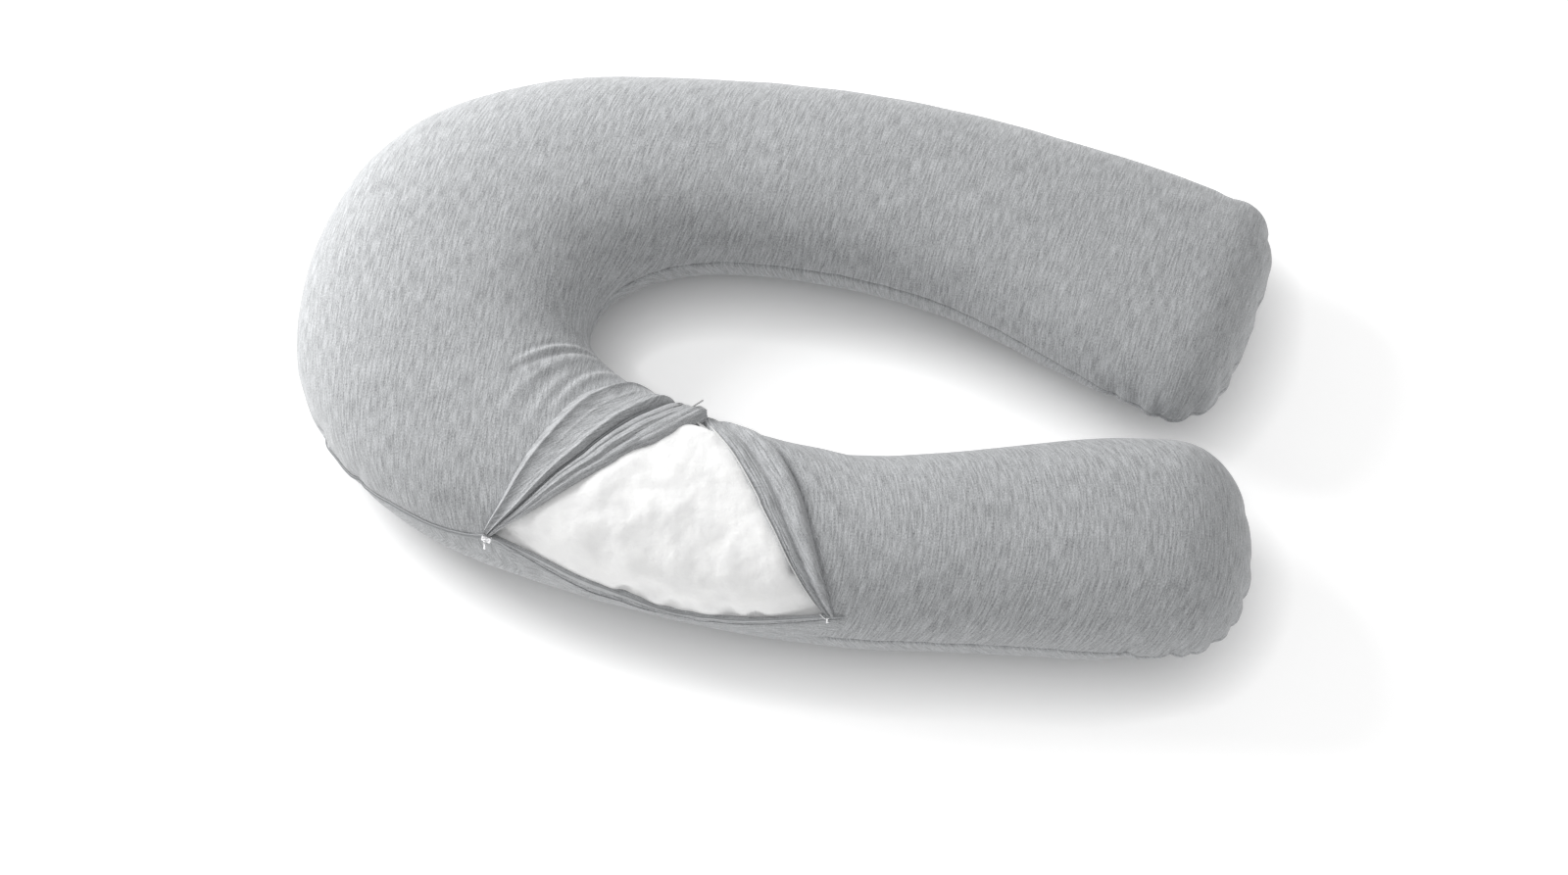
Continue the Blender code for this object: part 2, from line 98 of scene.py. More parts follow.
# The turned-back folds, from the opening's corner to where they fade out on the inner side.
# Columns: edge distance, edge angle, outer foot distance, outer foot angle, size of the folds
LEFT_FOLDS = (
    (0.859, 24, 0.866, 25, 0.40),
    (0.848, 37, 0.864, 37, 0.75),
    (0.828, 55, 0.862, 54, 0.95),
    (0.802, 75, 0.864, 75, 1.00),
    (0.766, 94, 0.863, 93, 1.00),
    (0.725, 117.5, 0.857, 112, 1.00),
    (0.7025, 134, 0.840, 128, 0.95),
    (0.699, 151, 0.816, 148, 0.80),
    (0.712, 167, 0.783, 164, 0.40),
    (0.728, 178, 0.757, 176, 0.10),
)
RIGHT_FOLDS = (
    (0.500, 25, 0.490, 25, 0.30),
    (0.525, 45, 0.500, 45, 0.70),
    (0.550, 64, 0.511, 64, 0.90),
    (0.575, 81, 0.526, 83, 1.00),
    (0.606, 96, 0.545, 101, 1.00),
    (0.640, 113, 0.570, 120, 0.95),
    (0.668, 126, 0.602, 139, 0.78),
    (0.692, 140, 0.632, 152, 0.50),
    (0.697, 154, 0.655, 162, 0.30),
    (0.690, 168, 0.668, 172, 0.10),
)

# The least size that a strip's folds fade out to
LEAST_SIZE = 0.02

# The lower lip's rolled edge, in the same columns
LOWER_WELT = (
    (0.876, 20.5, 0.876, 20, 0.02),
    (0.864, 22.4, 0.864, 21.5, 0.35),
    (0.849, 24, 0.849, 22, 0.60),
    (0.817, 21, 0.817, 15.3, 0.80),
    (0.785, 15.3, 0.785, 8, 1.20),
    (0.757, 12.2, 0.757, 3.8, 1.70),
    (0.731, 10.4, 0.731, 4.4, 2.15),
    (0.704, 8, 0.704, 3.4, 2.15),
    (0.677, 5, 0.677, 1.8, 1.80),
    (0.650, 3.6, 0.650, 0, 1.40),
    (0.610, 7.3, 0.610, 2.2, 0.95),
    (0.575, 12.8, 0.575, 6.7, 0.75),
    (0.543, 18.7, 0.543, 13, 0.60),
    (0.505, 25, 0.505, 20.6, 0.40),
    (0.480, 26.5, 0.480, 24.5, 0.02),
)

# Across each strip, from under its edge outwards. Columns: share of the width, lift off the surface in mm
LEFT_PROFILE = (
    (0.03, -10), (-0.02, -6), (-0.05, 0), (-0.04, 5), (0.00, 8.6), (0.05, 10.4), (0.09, 10.2),
    (0.115, 9), (0.14, 9.6), (0.19, 10.8), (0.23, 10.6), (0.255, 9.6), (0.28, 9.8), (0.32, 9.2),
    (0.350, 7.6), (0.365, 6.4), (0.373, 2.2), (0.381, 3.4), (0.391, 5.8), (0.401, 3.4), (0.409, 1.6),
    (0.418, 6), (0.44, 7.6), (0.47, 9.6), (0.490, 11.6), (0.504, 12), (0.520, 10.6), (0.55, 8.8),
    (0.60, 7.6), (0.66, 6.9), (0.72, 6.6), (0.78, 6.6), (0.84, 7), (0.88, 7.8), (0.905, 9.2),
    (0.920, 10.2), (0.934, 9.8), (0.952, 7.6), (0.972, 4.6), (0.995, 2.2), (1.02, 0.8), (1.05, -0.8),
)
RIGHT_PROFILE = (
    (0.06, -10), (0.01, -6), (-0.03, -1), (-0.025, 4.4), (-0.005, 6), (0.02, 5.8),
    (0.045, 3.8), (0.065, 4.8), (0.09, 6.6), (0.12, 6.8), (0.14, 5.4), (0.16, 6), (0.21, 6.6),
    (0.28, 5.8), (0.35, 3.6), (0.40, 2), (0.44, 2.4), (0.50, 5.4), (0.58, 9), (0.66, 10.8),
    (0.75, 11.4), (0.81, 10.6), (0.855, 8.4), (0.89, 4), (0.915, 0), (0.935, -2.4), (0.975, -2.6),
    (1.01, -0.4), (1.05, 0.7), (1.10, -0.8),
)
WELT_PROFILE = (
    (1.30, -14), (0.90, -9), (0.25, -4.5), (-0.03, -1.2), (-0.07, 0.6), (0.00, 1.9), (0.12, 2.2),
    (0.45, 3.1), (0.80, 4.1), (0.87, 4.2), (0.915, 0.4), (0.95, 0.6), (0.985, 4.2), (1.04, 4.5),
    (1.08, 3.9), (1.115, 0.6), (1.15, 0.8), (1.19, 3), (1.40, 3.2), (2.00, 2.4), (3.00, 1.3),
    (4.20, 0.5), (5.40, 0), (6.20, -0.8),
)

# Lengthwise creases on the strips. Columns: share of the width at the start and at the end, share of the
# length where it starts and ends, height in mm, half width as a share of the width
LEFT_CREASES = (
    (0.30, 0.24, 0.20, 0.85, -1.2, 0.014),
    (0.18, 0.06, 0.30, 0.98, -1.6, 0.014),
    (0.07, 0.02, 0.45, 0.98, -1.2, 0.012),
    (0.22, 0.16, 0.15, 0.75, 0.8, 0.014),
    (0.62, 0.58, 0.15, 0.60, 0.6, 0.020),
    (0.80, 0.70, 0.35, 0.80, 0.8, 0.020),
    (0.56, 0.62, 0.50, 0.98, 0.9, 0.018),
    (0.40, 0.42, 0.46, 0.80, -4.5, 0.026),
)
RIGHT_CREASES = (
    (0.20, 0.14, 0.10, 0.75, 0.9, 0.020),
    (0.30, 0.24, 0.30, 0.98, -1, 0.016),
    (0.46, 0.52, 0.15, 0.70, 0.9, 0.018),
    (0.66, 0.60, 0.35, 0.95, -1.2, 0.022),
    (0.92, 0.94, -0.10, 0.42, 3.4, 0.016),
)

# Gathers round the arms' ends and at the outside of the bend, where the seam is drawn in.
# Columns: x, y, depth, half width, reach, all but the first two in mm
PUCKERS = (
    (0.597, 0.172, 7, 9, 46),
    (0.601, 0.091, 4.5, 9, 40),
    (0.578, 0.038, 4.5, 7, 34),
    (0.560, 0.003, 8, 8, 50),
    (0.541, -0.028, 5.5, 6, 40),
    (0.504, -0.057, 7.5, 8, 48),
    (0.464, -0.060, 4, 6, 36),
    (0.434, -0.045, 7, 8, 46),
    (0.409, -0.030, 3.5, 6, 30),
    (0.566, 0.236, 9, 8.5, 42),
    (0.608, 0.180, 3, 6, 26),
    (0.601, 0.130, 2, 7, 30),
    (0.558, -0.204, 4, 9, 40),
    (0.556, -0.262, 2.5, 7, 30),
    (0.548, -0.305, 6.5, 8, 46),
    (0.537, -0.343, 5, 6, 40),
    (0.515, -0.366, 7.5, 8, 48),
    (0.486, -0.380, 4, 6, 34),
    (0.462, -0.382, 6.5, 8, 44),
    (0.410, -0.379, 5.5, 7, 46),
    (0.392, -0.380, 3, 6, 34),
    (-0.563, -0.085, 5, 6, 26),
    (-0.516, -0.146, 5, 6, 26),
)

# Soft wrinkles on the top, through points of the plan. Columns: height in mm, half width in mm, x and y of
# each point
WRINKLES = (
    (3.2, 4.5, (-0.335, -0.066, -0.319, -0.049, -0.285, -0.027, -0.254, -0.018, -0.232, -0.016)),
    (3.4, 5, (-0.330, -0.088, -0.315, -0.066, -0.270, -0.038, -0.244, -0.030, -0.222, -0.026)),
    (3, 5.5, (-0.335, -0.120, -0.327, -0.098, -0.301, -0.068, -0.262, -0.042, -0.236, -0.036)),
    (3.4, 5.5, (-0.284, -0.125, -0.268, -0.099, -0.247, -0.073, -0.225, -0.056, -0.205, -0.046)),
    (2.6, 6.5, (-0.318, -0.150, -0.300, -0.118, -0.280, -0.086, -0.258, -0.062)),
    (3, 9, (-0.030, -0.130, 0.000, -0.150, 0.040, -0.180, 0.085, -0.215)),
    (2.6, 9, (-0.020, -0.118, 0.020, -0.135, 0.070, -0.160, 0.120, -0.190)),
    (3, 10, (0.010, -0.185, 0.045, -0.230, 0.075, -0.275, 0.095, -0.315)),
    (2.4, 9, (0.035, -0.255, 0.055, -0.295, 0.068, -0.335, 0.072, -0.358)),
    (-2.4, 10, (0.020, -0.165, 0.065, -0.210, 0.105, -0.255, 0.140, -0.300)),
)

# Hollows in the filling, by the lip and the folds. Columns: distance, angle, depth and half width in mm
HOLLOWS = (
    (0.721, 13, 9, 9),
    (0.705, 12, 5, 12),
    (0.668, 9, 8, 10),
    (0.648, 10, 5, 13),
    (0.603, 13, 6, 12),
    (0.574, 15, 6, 10),
    (0.541, 57, 5, 7),
    (0.690, 22, 4, 20),
    (0.625, 24, 4, 18),
)

# The blunt end of the rolled hem. Columns: distance, angle, lift, half width, half height,
# all but the first two in mm
HEM_END = (
    (0.775, 94, 3, 6, 3.5),
    (0.757, 102.5, 5, 10, 5),
    (0.744, 109.5, 6, 12, 5.5),
    (0.732, 118, 6.5, 12.8, 6),
    (0.722, 126, 7, 12.6, 6.4),
    (0.714, 134, 7.5, 11.6, 6.6),
    (0.7080, 141.5, 8, 10.4, 6.4),
    (0.7045, 148, 8, 8.8, 5.8),
    (0.7030, 152.5, 8, 5, 3.6),
    (0.7030, 153.5, 8, 0.3, 0.3),
)

# The tape's free edge beside the tip. Columns: distance, angle, width in mm
TAPE_SLIVER = (
    (0.703, 133, 2),
    (0.690, 129, 5),
    (0.675, 123.5, 6.5),
    (0.660, 117.5, 5),
    (0.646, 111.5, 1),
)

# The zip. Columns of the route: distance, angle
CHAIN_ROUTE = (
    (1.030, -4),
    (1.010, -4),
    (0.990, -3),
    (0.948, 5),
    (0.911, 10),
    (0.884, 15),
    (0.866, 20),
)
SLIDER_PLACE = (0.861, 22.5)
STOP_PLACE = (0.498, 23)
COIL_PITCH = 0.0015
COIL_HEIGHT = 0.0013
CLOSED_COIL_WIDTH = 0.0030
OPEN_COIL_WIDTH = 0.0022

# Where the open zip lies on the strips: share of the width, lift off the surface in mm
LIP_TAPE_TOP = (0, 1.9)
LIP_TAPE_FOOT = (0.42, 3)
COIL_ON_FOLDS = (0.391, 4.6)
TAPE_ON_FOLDS = (-0.012, 5.6)

# How deep the cover is drawn in under the opening and under the folds
OPENING_SINK = 0.030
FOLD_SINK = 0.006

# The filling: how far it runs past the opening's ends and upper edge, and how much of the section it fills
FILLING_MIDDLE = 0.68
FILLING_STRETCH = 1.03
FILLING_REACH = 1.06
FILLING_FLOOR = 0.885
FILLING_SWELL = 0.195
LIP_RISE = 0.106
LIP_RISE_BY_SIZE = 0.0185

# ---- how finely things are meshed ----
STATION_GAP = 0.0055
CAP_STATIONS = 34
SEAM_ANGLES = (0.0, 0.15, 0.35, 0.7, 1.2, 1.9, 2.9, 4.2, 6.0, 8.0)
UPPER_STEP = 2.9
LOWER_ANGLES = (10.5, 13.5, 17, 20.5, 24, 28, 32, 36, 40, 44, 48, 52, 56, 59, 62, 68, 76, 83)
STRIP_ROWS = 24
STRIP_COLUMNS = 170
FILLING_ROWS = 15
FILLING_COLUMNS = 120
WISP_COUNT = 2400
WISP_STEPS = 5

# The rows of the strips that carry a tape or coil
UPPER_TAPE_ROWS = slice(12, -60)
LOWER_TAPE_ROWS = slice(28, None)


def smooth_rows(table, per_step):
    """Rows of a table, with smooth rows between them (a natural cubic spline through each column)."""
    rows = np.asarray(table, float)
    inner = len(rows) - 2
    system = 4 * np.eye(inner) + np.eye(inner, k=1) + np.eye(inner, k=-1)
    bend = np.zeros_like(rows)
    bend[1:-1] = np.linalg.solve(system, rows[2:] - 2 * rows[1:-1] + rows[:-2])
    share = np.linspace(0, 1, per_step, endpoint=False)[:, None]
    rest = 1 - share
    out = []
    for here, ahead, bend_here, bend_ahead in zip(rows, rows[1:], bend, bend[1:]):
        straight = rest * here + share * ahead
        out.append(straight + (rest**3 - rest) * bend_here + (share**3 - share) * bend_ahead)
    out.append(rows[-1][None])
    return np.vstack(out)


def run_along(points):
    """How far along a path each of its points lies."""
    return np.r_[0, np.cumsum(np.linalg.norm(np.diff(points, axis=0), axis=1))]


def unit(vectors):
    """The vectors at a length of one."""
    return vectors / np.maximum(np.linalg.norm(vectors, axis=-1), 1e-12)[..., None]


class Spine:
    """The pillow's middle line, read by distance along it."""

    def __init__(self, table):
        rows = smooth_rows(table, 60)
        outer, inner = rows[:, 0:2], rows[:, 2:4]
        self.middles = (outer + inner) / 2
        self.distance = run_along(self.middles)
        self.length = float(self.distance[-1])
        self.columns = np.c_[self.middles, (outer - inner) / 2, rows[:, 4]].T

    def at(self, distance):
        """The middle, the way from there to the outer seam, and the crown's height."""
        row = np.stack([np.interp(distance, self.distance, column) for column in self.columns], axis=-1)
        return row[..., 0:2], row[..., 2:4], row[..., 4]


SPINE = Spine(SECTIONS)


def cap_share(distance):
    """The section's size as a share of its full size, less than one at the arms' ends."""
    near = np.clip(np.minimum(distance, SPINE.length - distance) / CAP_LENGTH, 0, 1)
    power = np.where(distance < SPINE.length / 2, NEAR_BLUNTNESS, FAR_BLUNTNESS)
    return (1 - (1 - near) ** power) ** (1 / power)


def squareness(distance, below):
    """How square the section is: less below the seam, towards the arms' ends."""
    near = np.minimum(distance, SPINE.length - distance) / TUCK_LENGTH
    full = np.clip(2 * near - 1, 0, 1)
    return np.where(below, TUCKED_SQUARENESS + (SQUARENESS - TUCKED_SQUARENESS) * full, SQUARENESS)


def raw_skin(distance, angle, rounded=True):
    """Points of the closed pillow, without the rounding of its ends where rounded is off."""
    distance, angle = np.broadcast_arrays(np.asarray(distance, float), np.radians(np.asarray(angle, float)))
    middle, reach, crown = SPINE.at(distance)
    share = cap_share(distance) if rounded else np.ones(distance.shape)
    power = 2 / squareness(distance, np.sin(angle) < 0)
    across = share * np.sign(np.cos(angle)) * np.abs(np.cos(angle)) ** power
    rise = share * np.abs(np.sin(angle)) ** power
    above = SEAM_HEIGHT + (crown - SEAM_HEIGHT) * rise
    below = np.maximum(SEAM_HEIGHT - SEAM_HEIGHT * FLATTENING * rise, 0.0)
    height = np.where(np.sin(angle) >= 0, above, below)
    return np.concatenate([middle + across[..., None] * reach, height[..., None]], axis=-1)


def plan_middle():
    seam = raw_skin(np.linspace(0, SPINE.length, 1200)[:, None], np.array([0.0, 180.0])).reshape(-1, 3)
    middle = (seam.min(axis=0) + seam.max(axis=0)) / 2
    return np.array([middle[0], middle[1], 0.0])


MIDDLE = plan_middle()


def skin(distance, angle):
    """Points of the smooth closed pillow, in the frame of the part."""
    return raw_skin(distance, angle) - MIDDLE


def skin_normal(distance, angle):
    """Directions straight off the smooth surface."""
    along = skin(distance + 0.002, angle) - skin(distance - 0.002, angle)
    around = skin(distance, angle + 1.0) - skin(distance, angle - 1.0)
    return unit(np.cross(around, along))


def cloud(points, size, seed):
    """Smooth unevenness from -1 to 1, with lumps about as large as size."""
    grid = np.random.default_rng(seed).uniform(-1, 1, (24, 24, 24))
    place = np.asarray(points) / np.asarray(size) + 100.37
    cell = np.floor(place).astype(int)
    part = place - cell
    part = part * part * (3 - 2 * part)
    total = np.zeros(place.shape[:-1])
    for corner in np.ndindex(2, 2, 2):
        weight = np.prod(np.abs(1 - np.array(corner) - part), axis=-1)
        x, y, z = np.moveaxis((cell + corner) % 24, -1, 0)
        total += weight * grid[x, y, z]
    return total


def ease(value):
    """A smooth step from 0 to 1."""
    value = np.clip(value, 0, 1)
    return value * value * (3 - 2 * value)


def path_distance(points, path):
    """Signed distance in plan from a path of points, and the share of its length."""
    best = np.full(points.shape[:-1], 9.0)
    share = np.zeros(points.shape[:-1])
    steps = np.linalg.norm(np.diff(path, axis=0), axis=1)
    start = np.r_[0, np.cumsum(steps)]
    for k, step in enumerate(steps):
        run = (path[k + 1] - path[k]) / step
        offset = points[..., :2] - path[k]
        along = np.clip(offset @ run, 0, step)
        gap = offset - along[..., None] * run
        size = np.linalg.norm(gap, axis=-1)
        side = np.sign(run[0] * gap[..., 1] - run[1] * gap[..., 0])
        nearer = size < np.abs(best)
        best = np.where(nearer, size * side, best)
        share = np.where(nearer, (start[k] + along) / start[-1], share)
    return best, share


def wrinkle_lift(points):
    """The height of the soft wrinkles, each with a shallow trough beside it."""
    lift = np.zeros(points.shape[:-1])
    upper = ease((points[..., 2] - SEAM_HEIGHT - 0.01) / 0.03)
    for height, width, numbers in WRINKLES:
        path = smooth_rows(np.array(numbers).reshape(-1, 2), 6)
        gap, share = path_distance(points, path)
        width = width / 1000
        shape = np.exp(-((gap / width) ** 2)) - 0.55 * np.exp(-(((gap - 1.7 * width) / width) ** 2))
        fade = np.sin(np.pi * np.clip(share, 0, 1)) ** 0.7
        ends = np.where((share <= 0) | (share >= 1), 0, 1)
        lift += height / 1000 * shape * fade * ends * upper
    return lift


def seam_lift(points, distance, angle):
    """The seam's groove, with the panels swelling a little beside it. None shows below the zip."""
    gap = np.abs(points[..., 2] - SEAM_HEIGHT)
    by_zip = ease((CHAIN_ROUTE[0][0] - distance) / 0.03) * ease((distance - STOP_PLACE[0]) / 0.02)
    bare = 1 - by_zip * (np.cos(np.radians(angle)) > 0)
    return bare * (0.0006 * np.exp(-(((gap - 0.006) / 0.005) ** 2)) - 0.0034 * np.exp(-gap / 0.0016))


def gather(points):
    """Draws the surface in at the gathers, as troughs that cross the seam and fan out up the side."""
    points = points.copy()
    for x, y, depth, width, reach in PUCKERS:
        spot = np.array([x, y]) - MIDDLE[:2]
        near = SPINE.distance[np.argmin(np.linalg.norm(SPINE.middles - MIDDLE[:2] - spot, axis=1))]
        anchor = SPINE.at(np.clip(near, CAP_LENGTH, SPINE.length - CAP_LENGTH))[0] - MIDDLE[:2]
        inward = unit(anchor - spot)
        offset = points[..., :2] - spot
        along = offset @ inward
        aside = offset @ np.array([-inward[1], inward[0]])
        rise = points[..., 2] - SEAM_HEIGHT
        spread = (width / 1000) * (1 + np.abs(rise) / 0.06 + np.clip(along, 0, 1) / 0.05)
        reach = reach / 1000
        strength = np.exp(-(np.abs(aside) / spread) ** 1.5 - (along / reach) ** 2 - (rise / reach) ** 2)
        points[..., :2] += (depth / 1000 * strength)[..., None] * inward
        points[..., 2] -= 0.35 * depth / 1000 * strength * np.sign(rise) * ease(np.abs(rise) / 0.02)
    return points


def ripples(points):
    """Unevenness of the stuffed cloth, and finer puckering along the seam."""
    broad = 0.0016 * cloud(points, 0.11, 3) + 0.0008 * cloud(points, 0.045, 4)
    near_seam = np.exp(-(((points[..., 2] - SEAM_HEIGHT) / 0.022) ** 2))
    fine = 0.0009 * cloud(points, (0.014, 0.014, 0.05), 5) * near_seam
    rest = ease(points[..., 2] / 0.03)
    return (broad + fine) * rest


def cover_skin(distance, angle, seam=True):
    """Points of the cover's cloth, with its wrinkles, seam and gathers."""
    points = skin(distance, angle)
    lift = ripples(points) + wrinkle_lift(points)
    if seam:
        lift = lift + seam_lift(points, distance, angle)
    points = points + lift[..., None] * skin_normal(distance, angle)
    points = gather(points)
    points[..., 2] = np.maximum(points[..., 2], 0.0)
    return points


# ---- mesh helpers ----
def grid_faces(rows, columns, closed=False):
    """Four-sided faces over a grid of points, joined round where closed is on."""
    index = np.arange(rows * columns).reshape(rows, columns)
    if closed:
        index = np.c_[index, index[:, :1]]
    quads = np.stack([index[:-1, :-1], index[:-1, 1:], index[1:, 1:], index[1:, :-1]], axis=-1)
    return quads.reshape(-1, 4)


def add_item(name, data):
    item = bpy.data.objects.new(name, data)
    bpy.context.scene.collection.objects.link(item)
    return item


def add_piece(name, mesh, node):
    """Puts a mesh in the scene, as a piece that stands for a node."""
    item = add_item(name, mesh)
    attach(item, "root")
    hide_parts(node)
    return item


def build(name, points, faces, cloth, material, node, smooth=True, extra=()):
    """A piece of the given points and faces. cloth holds each point's place on the flat cloth, in metres."""
    mesh = bpy.data.meshes.new(name)
    corners = [tuple(face) for face in faces] + list(extra)
    mesh.from_pydata(np.asarray(points).reshape(-1, 3).tolist(), [], corners)
    if cloth is not None:
        layer = mesh.attributes.new("cloth", "FLOAT_VECTOR", "POINT")
        layer.data.foreach_set("vector", np.asarray(cloth, np.float32).reshape(-1))
    if smooth:
        mesh.shade_smooth()
    mesh.materials.append(material)
    return add_piece(name, mesh, node)


# ---- materials ----
class Nodes:
    """A material's node tree, built by name."""

    def __init__(self, name):
        self.material = bpy.data.materials.new(name)
        self.material.use_nodes = True
        self.tree = self.material.node_tree
        self.shader = self.tree.nodes["Principled BSDF"]

    def add(self, kind, **values):
        """A node with its settings and inputs. Spaces in an input's name are written as underscores."""
        node = self.tree.nodes.new(kind)
        for key, value in values.items():
            if hasattr(node, key):
                setattr(node, key, value)
            else:
                node.inputs[key.replace("_", " ")].default_value = value
        return node

    def join(self, start, end):
        self.tree.links.new(start, end)

    def surface(self, **values):
        """Sets the shader's inputs, their names written in the same way."""
        for key, value in values.items():
            self.shader.inputs[key.replace("_", " ")].default_value = value

    def scaled(self, source, scale):
        node = self.add("ShaderNodeMapping")
        node.inputs["Scale"].default_value = scale
        self.join(source, node.inputs["Vector"])
        return node.outputs["Vector"]

    def noise(self, source, scale, detail=2.0, roughness=0.5, distortion=0.0):
        values = {"Detail": detail, "Roughness": roughness, "Distortion": distortion}
        node = self.add("ShaderNodeTexNoise", Scale=1.0, **values)
        self.join(self.scaled(source, scale), node.inputs["Vector"])
        return node.outputs["Fac"]

    def bands(self, source, scale, direction, **values):
        node = self.add("ShaderNodeTexWave", bands_direction=direction, Scale=1.0, **values)
        self.join(self.scaled(source, scale), node.inputs["Vector"])
        return node.outputs["Fac"]

    def spread(self, source, low, high, out_low, out_high):
        values = {"From_Min": low, "From_Max": high, "To_Min": out_low, "To_Max": out_high}
        node = self.add("ShaderNodeMapRange", **values)
        self.join(source, node.inputs["Value"])
        return node.outputs["Result"]

    def sum(self, first, second, kind="ADD"):
        node = self.add("ShaderNodeMath", operation=kind)
        self.join(first, node.inputs[0])
        if isinstance(second, float):
            node.inputs[1].default_value = second
        else:
            self.join(second, node.inputs[1])
        return node.outputs[0]

    def tint(self, colour, shade):
        """Gives the surface a colour, lighter or darker by a shade."""
        node = self.add("ShaderNodeVectorMath", operation="SCALE")
        node.inputs[0].default_value = colour
        self.join(shade, node.inputs["Scale"])
        self.join(node.outputs["Vector"], self.shader.inputs["Base Color"])

    def bump(self, height, distance, before=None):
        node = self.add("ShaderNodeBump", Strength=1.0, Distance=distance)
        self.join(height, node.inputs["Height"])
        if before is not None:
            self.join(before, node.inputs["Normal"])
        return node.outputs["Normal"]


def knit_material(name, colour):
    """Melange jersey: light and dark fibres drawn out along the wales, with a fine knitted relief."""
    nodes = Nodes(name)
    cloth = nodes.add("ShaderNodeAttribute", attribute_name="cloth").outputs["Vector"]
    streaks = nodes.noise(cloth, (420, 42, 1), detail=3.0, roughness=0.62, distortion=0.15)
    threads = nodes.noise(cloth, (900, 420, 1), detail=2.0, roughness=0.7)
    patches = nodes.noise(cloth, (70, 16, 1), detail=2.0)
    specks = nodes.noise(cloth, (520, 160, 1), detail=1.0)
    value = nodes.sum(
        nodes.spread(streaks, 0.36, 0.64, -0.24, 0.24),
        nodes.spread(threads, 0.3, 0.7, -0.34, 0.34),
    )
    value = nodes.sum(value, nodes.spread(patches, 0.3, 0.7, -0.04, 0.04))
    value = nodes.sum(value, nodes.spread(specks, 0.68, 0.80, 0.0, -0.22))
    nodes.tint(colour, nodes.sum(value, 1.0))
    nodes.surface(Roughness=0.92, Specular_IOR_Level=0.25, Sheen_Weight=0.25, Sheen_Roughness=0.5)
    wales = nodes.bands(cloth, (360, 200, 1), "X", Distortion=1.2, Detail=1.0)
    relief = nodes.bump(streaks, 0.0004)
    relief = nodes.bump(wales, 0.00006, before=relief)
    nodes.join(relief, nodes.shader.inputs["Normal"])
    return nodes.material


def tape_material(name, colour):
    """Woven zip tape: a fine twill with a little sheen."""
    nodes = Nodes(name)
    cloth = nodes.add("ShaderNodeAttribute", attribute_name="cloth").outputs["Vector"]
    twill = nodes.bands(cloth, (420, 420, 1), "DIAGONAL")
    mottle = nodes.noise(cloth, (500, 500, 1), detail=2.0)
    weave = nodes.spread(twill, 0.0, 1.0, 0.92, 1.06)
    nodes.tint(colour, nodes.sum(weave, nodes.spread(mottle, 0.3, 0.7, -0.08, 0.08)))
    nodes.surface(Roughness=0.7, Sheen_Weight=0.15)
    nodes.join(nodes.bump(twill, 0.0001), nodes.shader.inputs["Normal"])
    return nodes.material


def fibre_material(name):
    """Loose white fibre: bright and soft, with fine crossing hairs as relief, and painted shade between its
    puffs.
    """
    nodes = Nodes(name)
    place = nodes.add("ShaderNodeTexCoord").outputs["Object"]
    hairs = nodes.noise(place, (240, 240, 240), detail=4.0, roughness=0.65, distortion=2.2)
    crossing = nodes.noise(place, (110, 120, 110), detail=3.0, roughness=0.6, distortion=1.2)
    puffs = nodes.noise(place, (40, 40, 40), detail=3.0, roughness=0.55)
    # Painted shade: the fibre is a little darker in the hollows between the puffs than on their tops
    colour = nodes.add("ShaderNodeMix", data_type="RGBA")
    colour.inputs[6].default_value = (0.90, 0.90, 0.90, 1)
    colour.inputs[7].default_value = (0.96, 0.96, 0.955, 1)
    nodes.join(nodes.spread(puffs, 0.25, 0.65, 0.0, 1.0), colour.inputs["Factor"])
    nodes.join(colour.outputs[2], nodes.shader.inputs["Base Color"])
    nodes.surface(Roughness=1.0, Specular_IOR_Level=0.1, Sheen_Weight=0.4)
    relief = nodes.bump(nodes.sum(hairs, crossing), 0.00026)
    relief = nodes.bump(puffs, 0.0012, before=relief)
    nodes.join(relief, nodes.shader.inputs["Normal"])
    return nodes.material


def metal_material(name):
    """Bright plated metal with faint wear in its roughness."""
    nodes = Nodes(name)
    place = nodes.add("ShaderNodeTexCoord").outputs["Object"]
    wear = nodes.noise(place, (900, 900, 900), detail=3.0)
    nodes.surface(Base_Color=(0.80, 0.80, 0.81, 1), Metallic=1.0)
    nodes.join(nodes.spread(wear, 0.3, 0.7, 0.18, 0.36), nodes.shader.inputs["Roughness"])
    nodes.join(nodes.bump(wear, 0.00004), nodes.shader.inputs["Normal"])
    return nodes.material


def floor_material():
    """A pale floor with a painted glow, dimmed as a painted shadow in the hollows beside the pillow."""
    nodes = Nodes("pale_floor")
    nodes.surface(Base_Color=(0.88, 0.88, 0.88, 1), Roughness=0.9, Specular_IOR_Level=0.1)
    nodes.surface(Emission_Color=(1, 1, 1, 1))
    # Painted contact shadow: ambient occlusion dims the floor's painted glow next to the pillow
    hollow = nodes.add("ShaderNodeAmbientOcclusion", samples=8, Distance=0.085)
    glow_left_by_painted_shadow = nodes.sum(hollow.outputs["AO"], 2.0, "POWER")
    nodes.join(nodes.sum(glow_left_by_painted_shadow, 0.42, "MULTIPLY"), nodes.shader.inputs["Emission Strength"])
    return nodes.material


KNIT = knit_material("grey_melange_knit", (0.385, 0.393, 0.402))
TAPE = tape_material("zip_tape_weave", (0.40, 0.41, 0.42))
# Painted light: the lower lip's tape is a lighter copy of the same zip tape, standing in for the light on
# the lip
PAINTED_LIGHT_LIP_TAPE = tape_material("zip_lip_tape_painted_light", (0.58, 0.59, 0.60))
COIL = tape_material("zip_coil", (0.32, 0.33, 0.34))
COIL_END = tape_material("zip_end", (0.50, 0.50, 0.50))
EDGE = tape_material("zip_tape_edge", (0.68, 0.68, 0.68))
FIBRE = fibre_material("white_fibre")
METAL = metal_material("bright_metal")


# ---- the cover ----
def lean(distance, points):
    """How far the cloth's grain has run sideways at a point, so that its streaks lean as they lie."""
    y = points[..., 1]
    far_arm = ease((distance - 1.05) / 0.55)
    near_arm = ease((0.95 - distance) / 0.35)
    bend = 1 - far_arm - near_arm
    return far_arm * 0.34 * (y - 0.10) + bend * 0.16 * (y - 0.10) - near_arm * 1.9 * (y + 0.255) ** 2


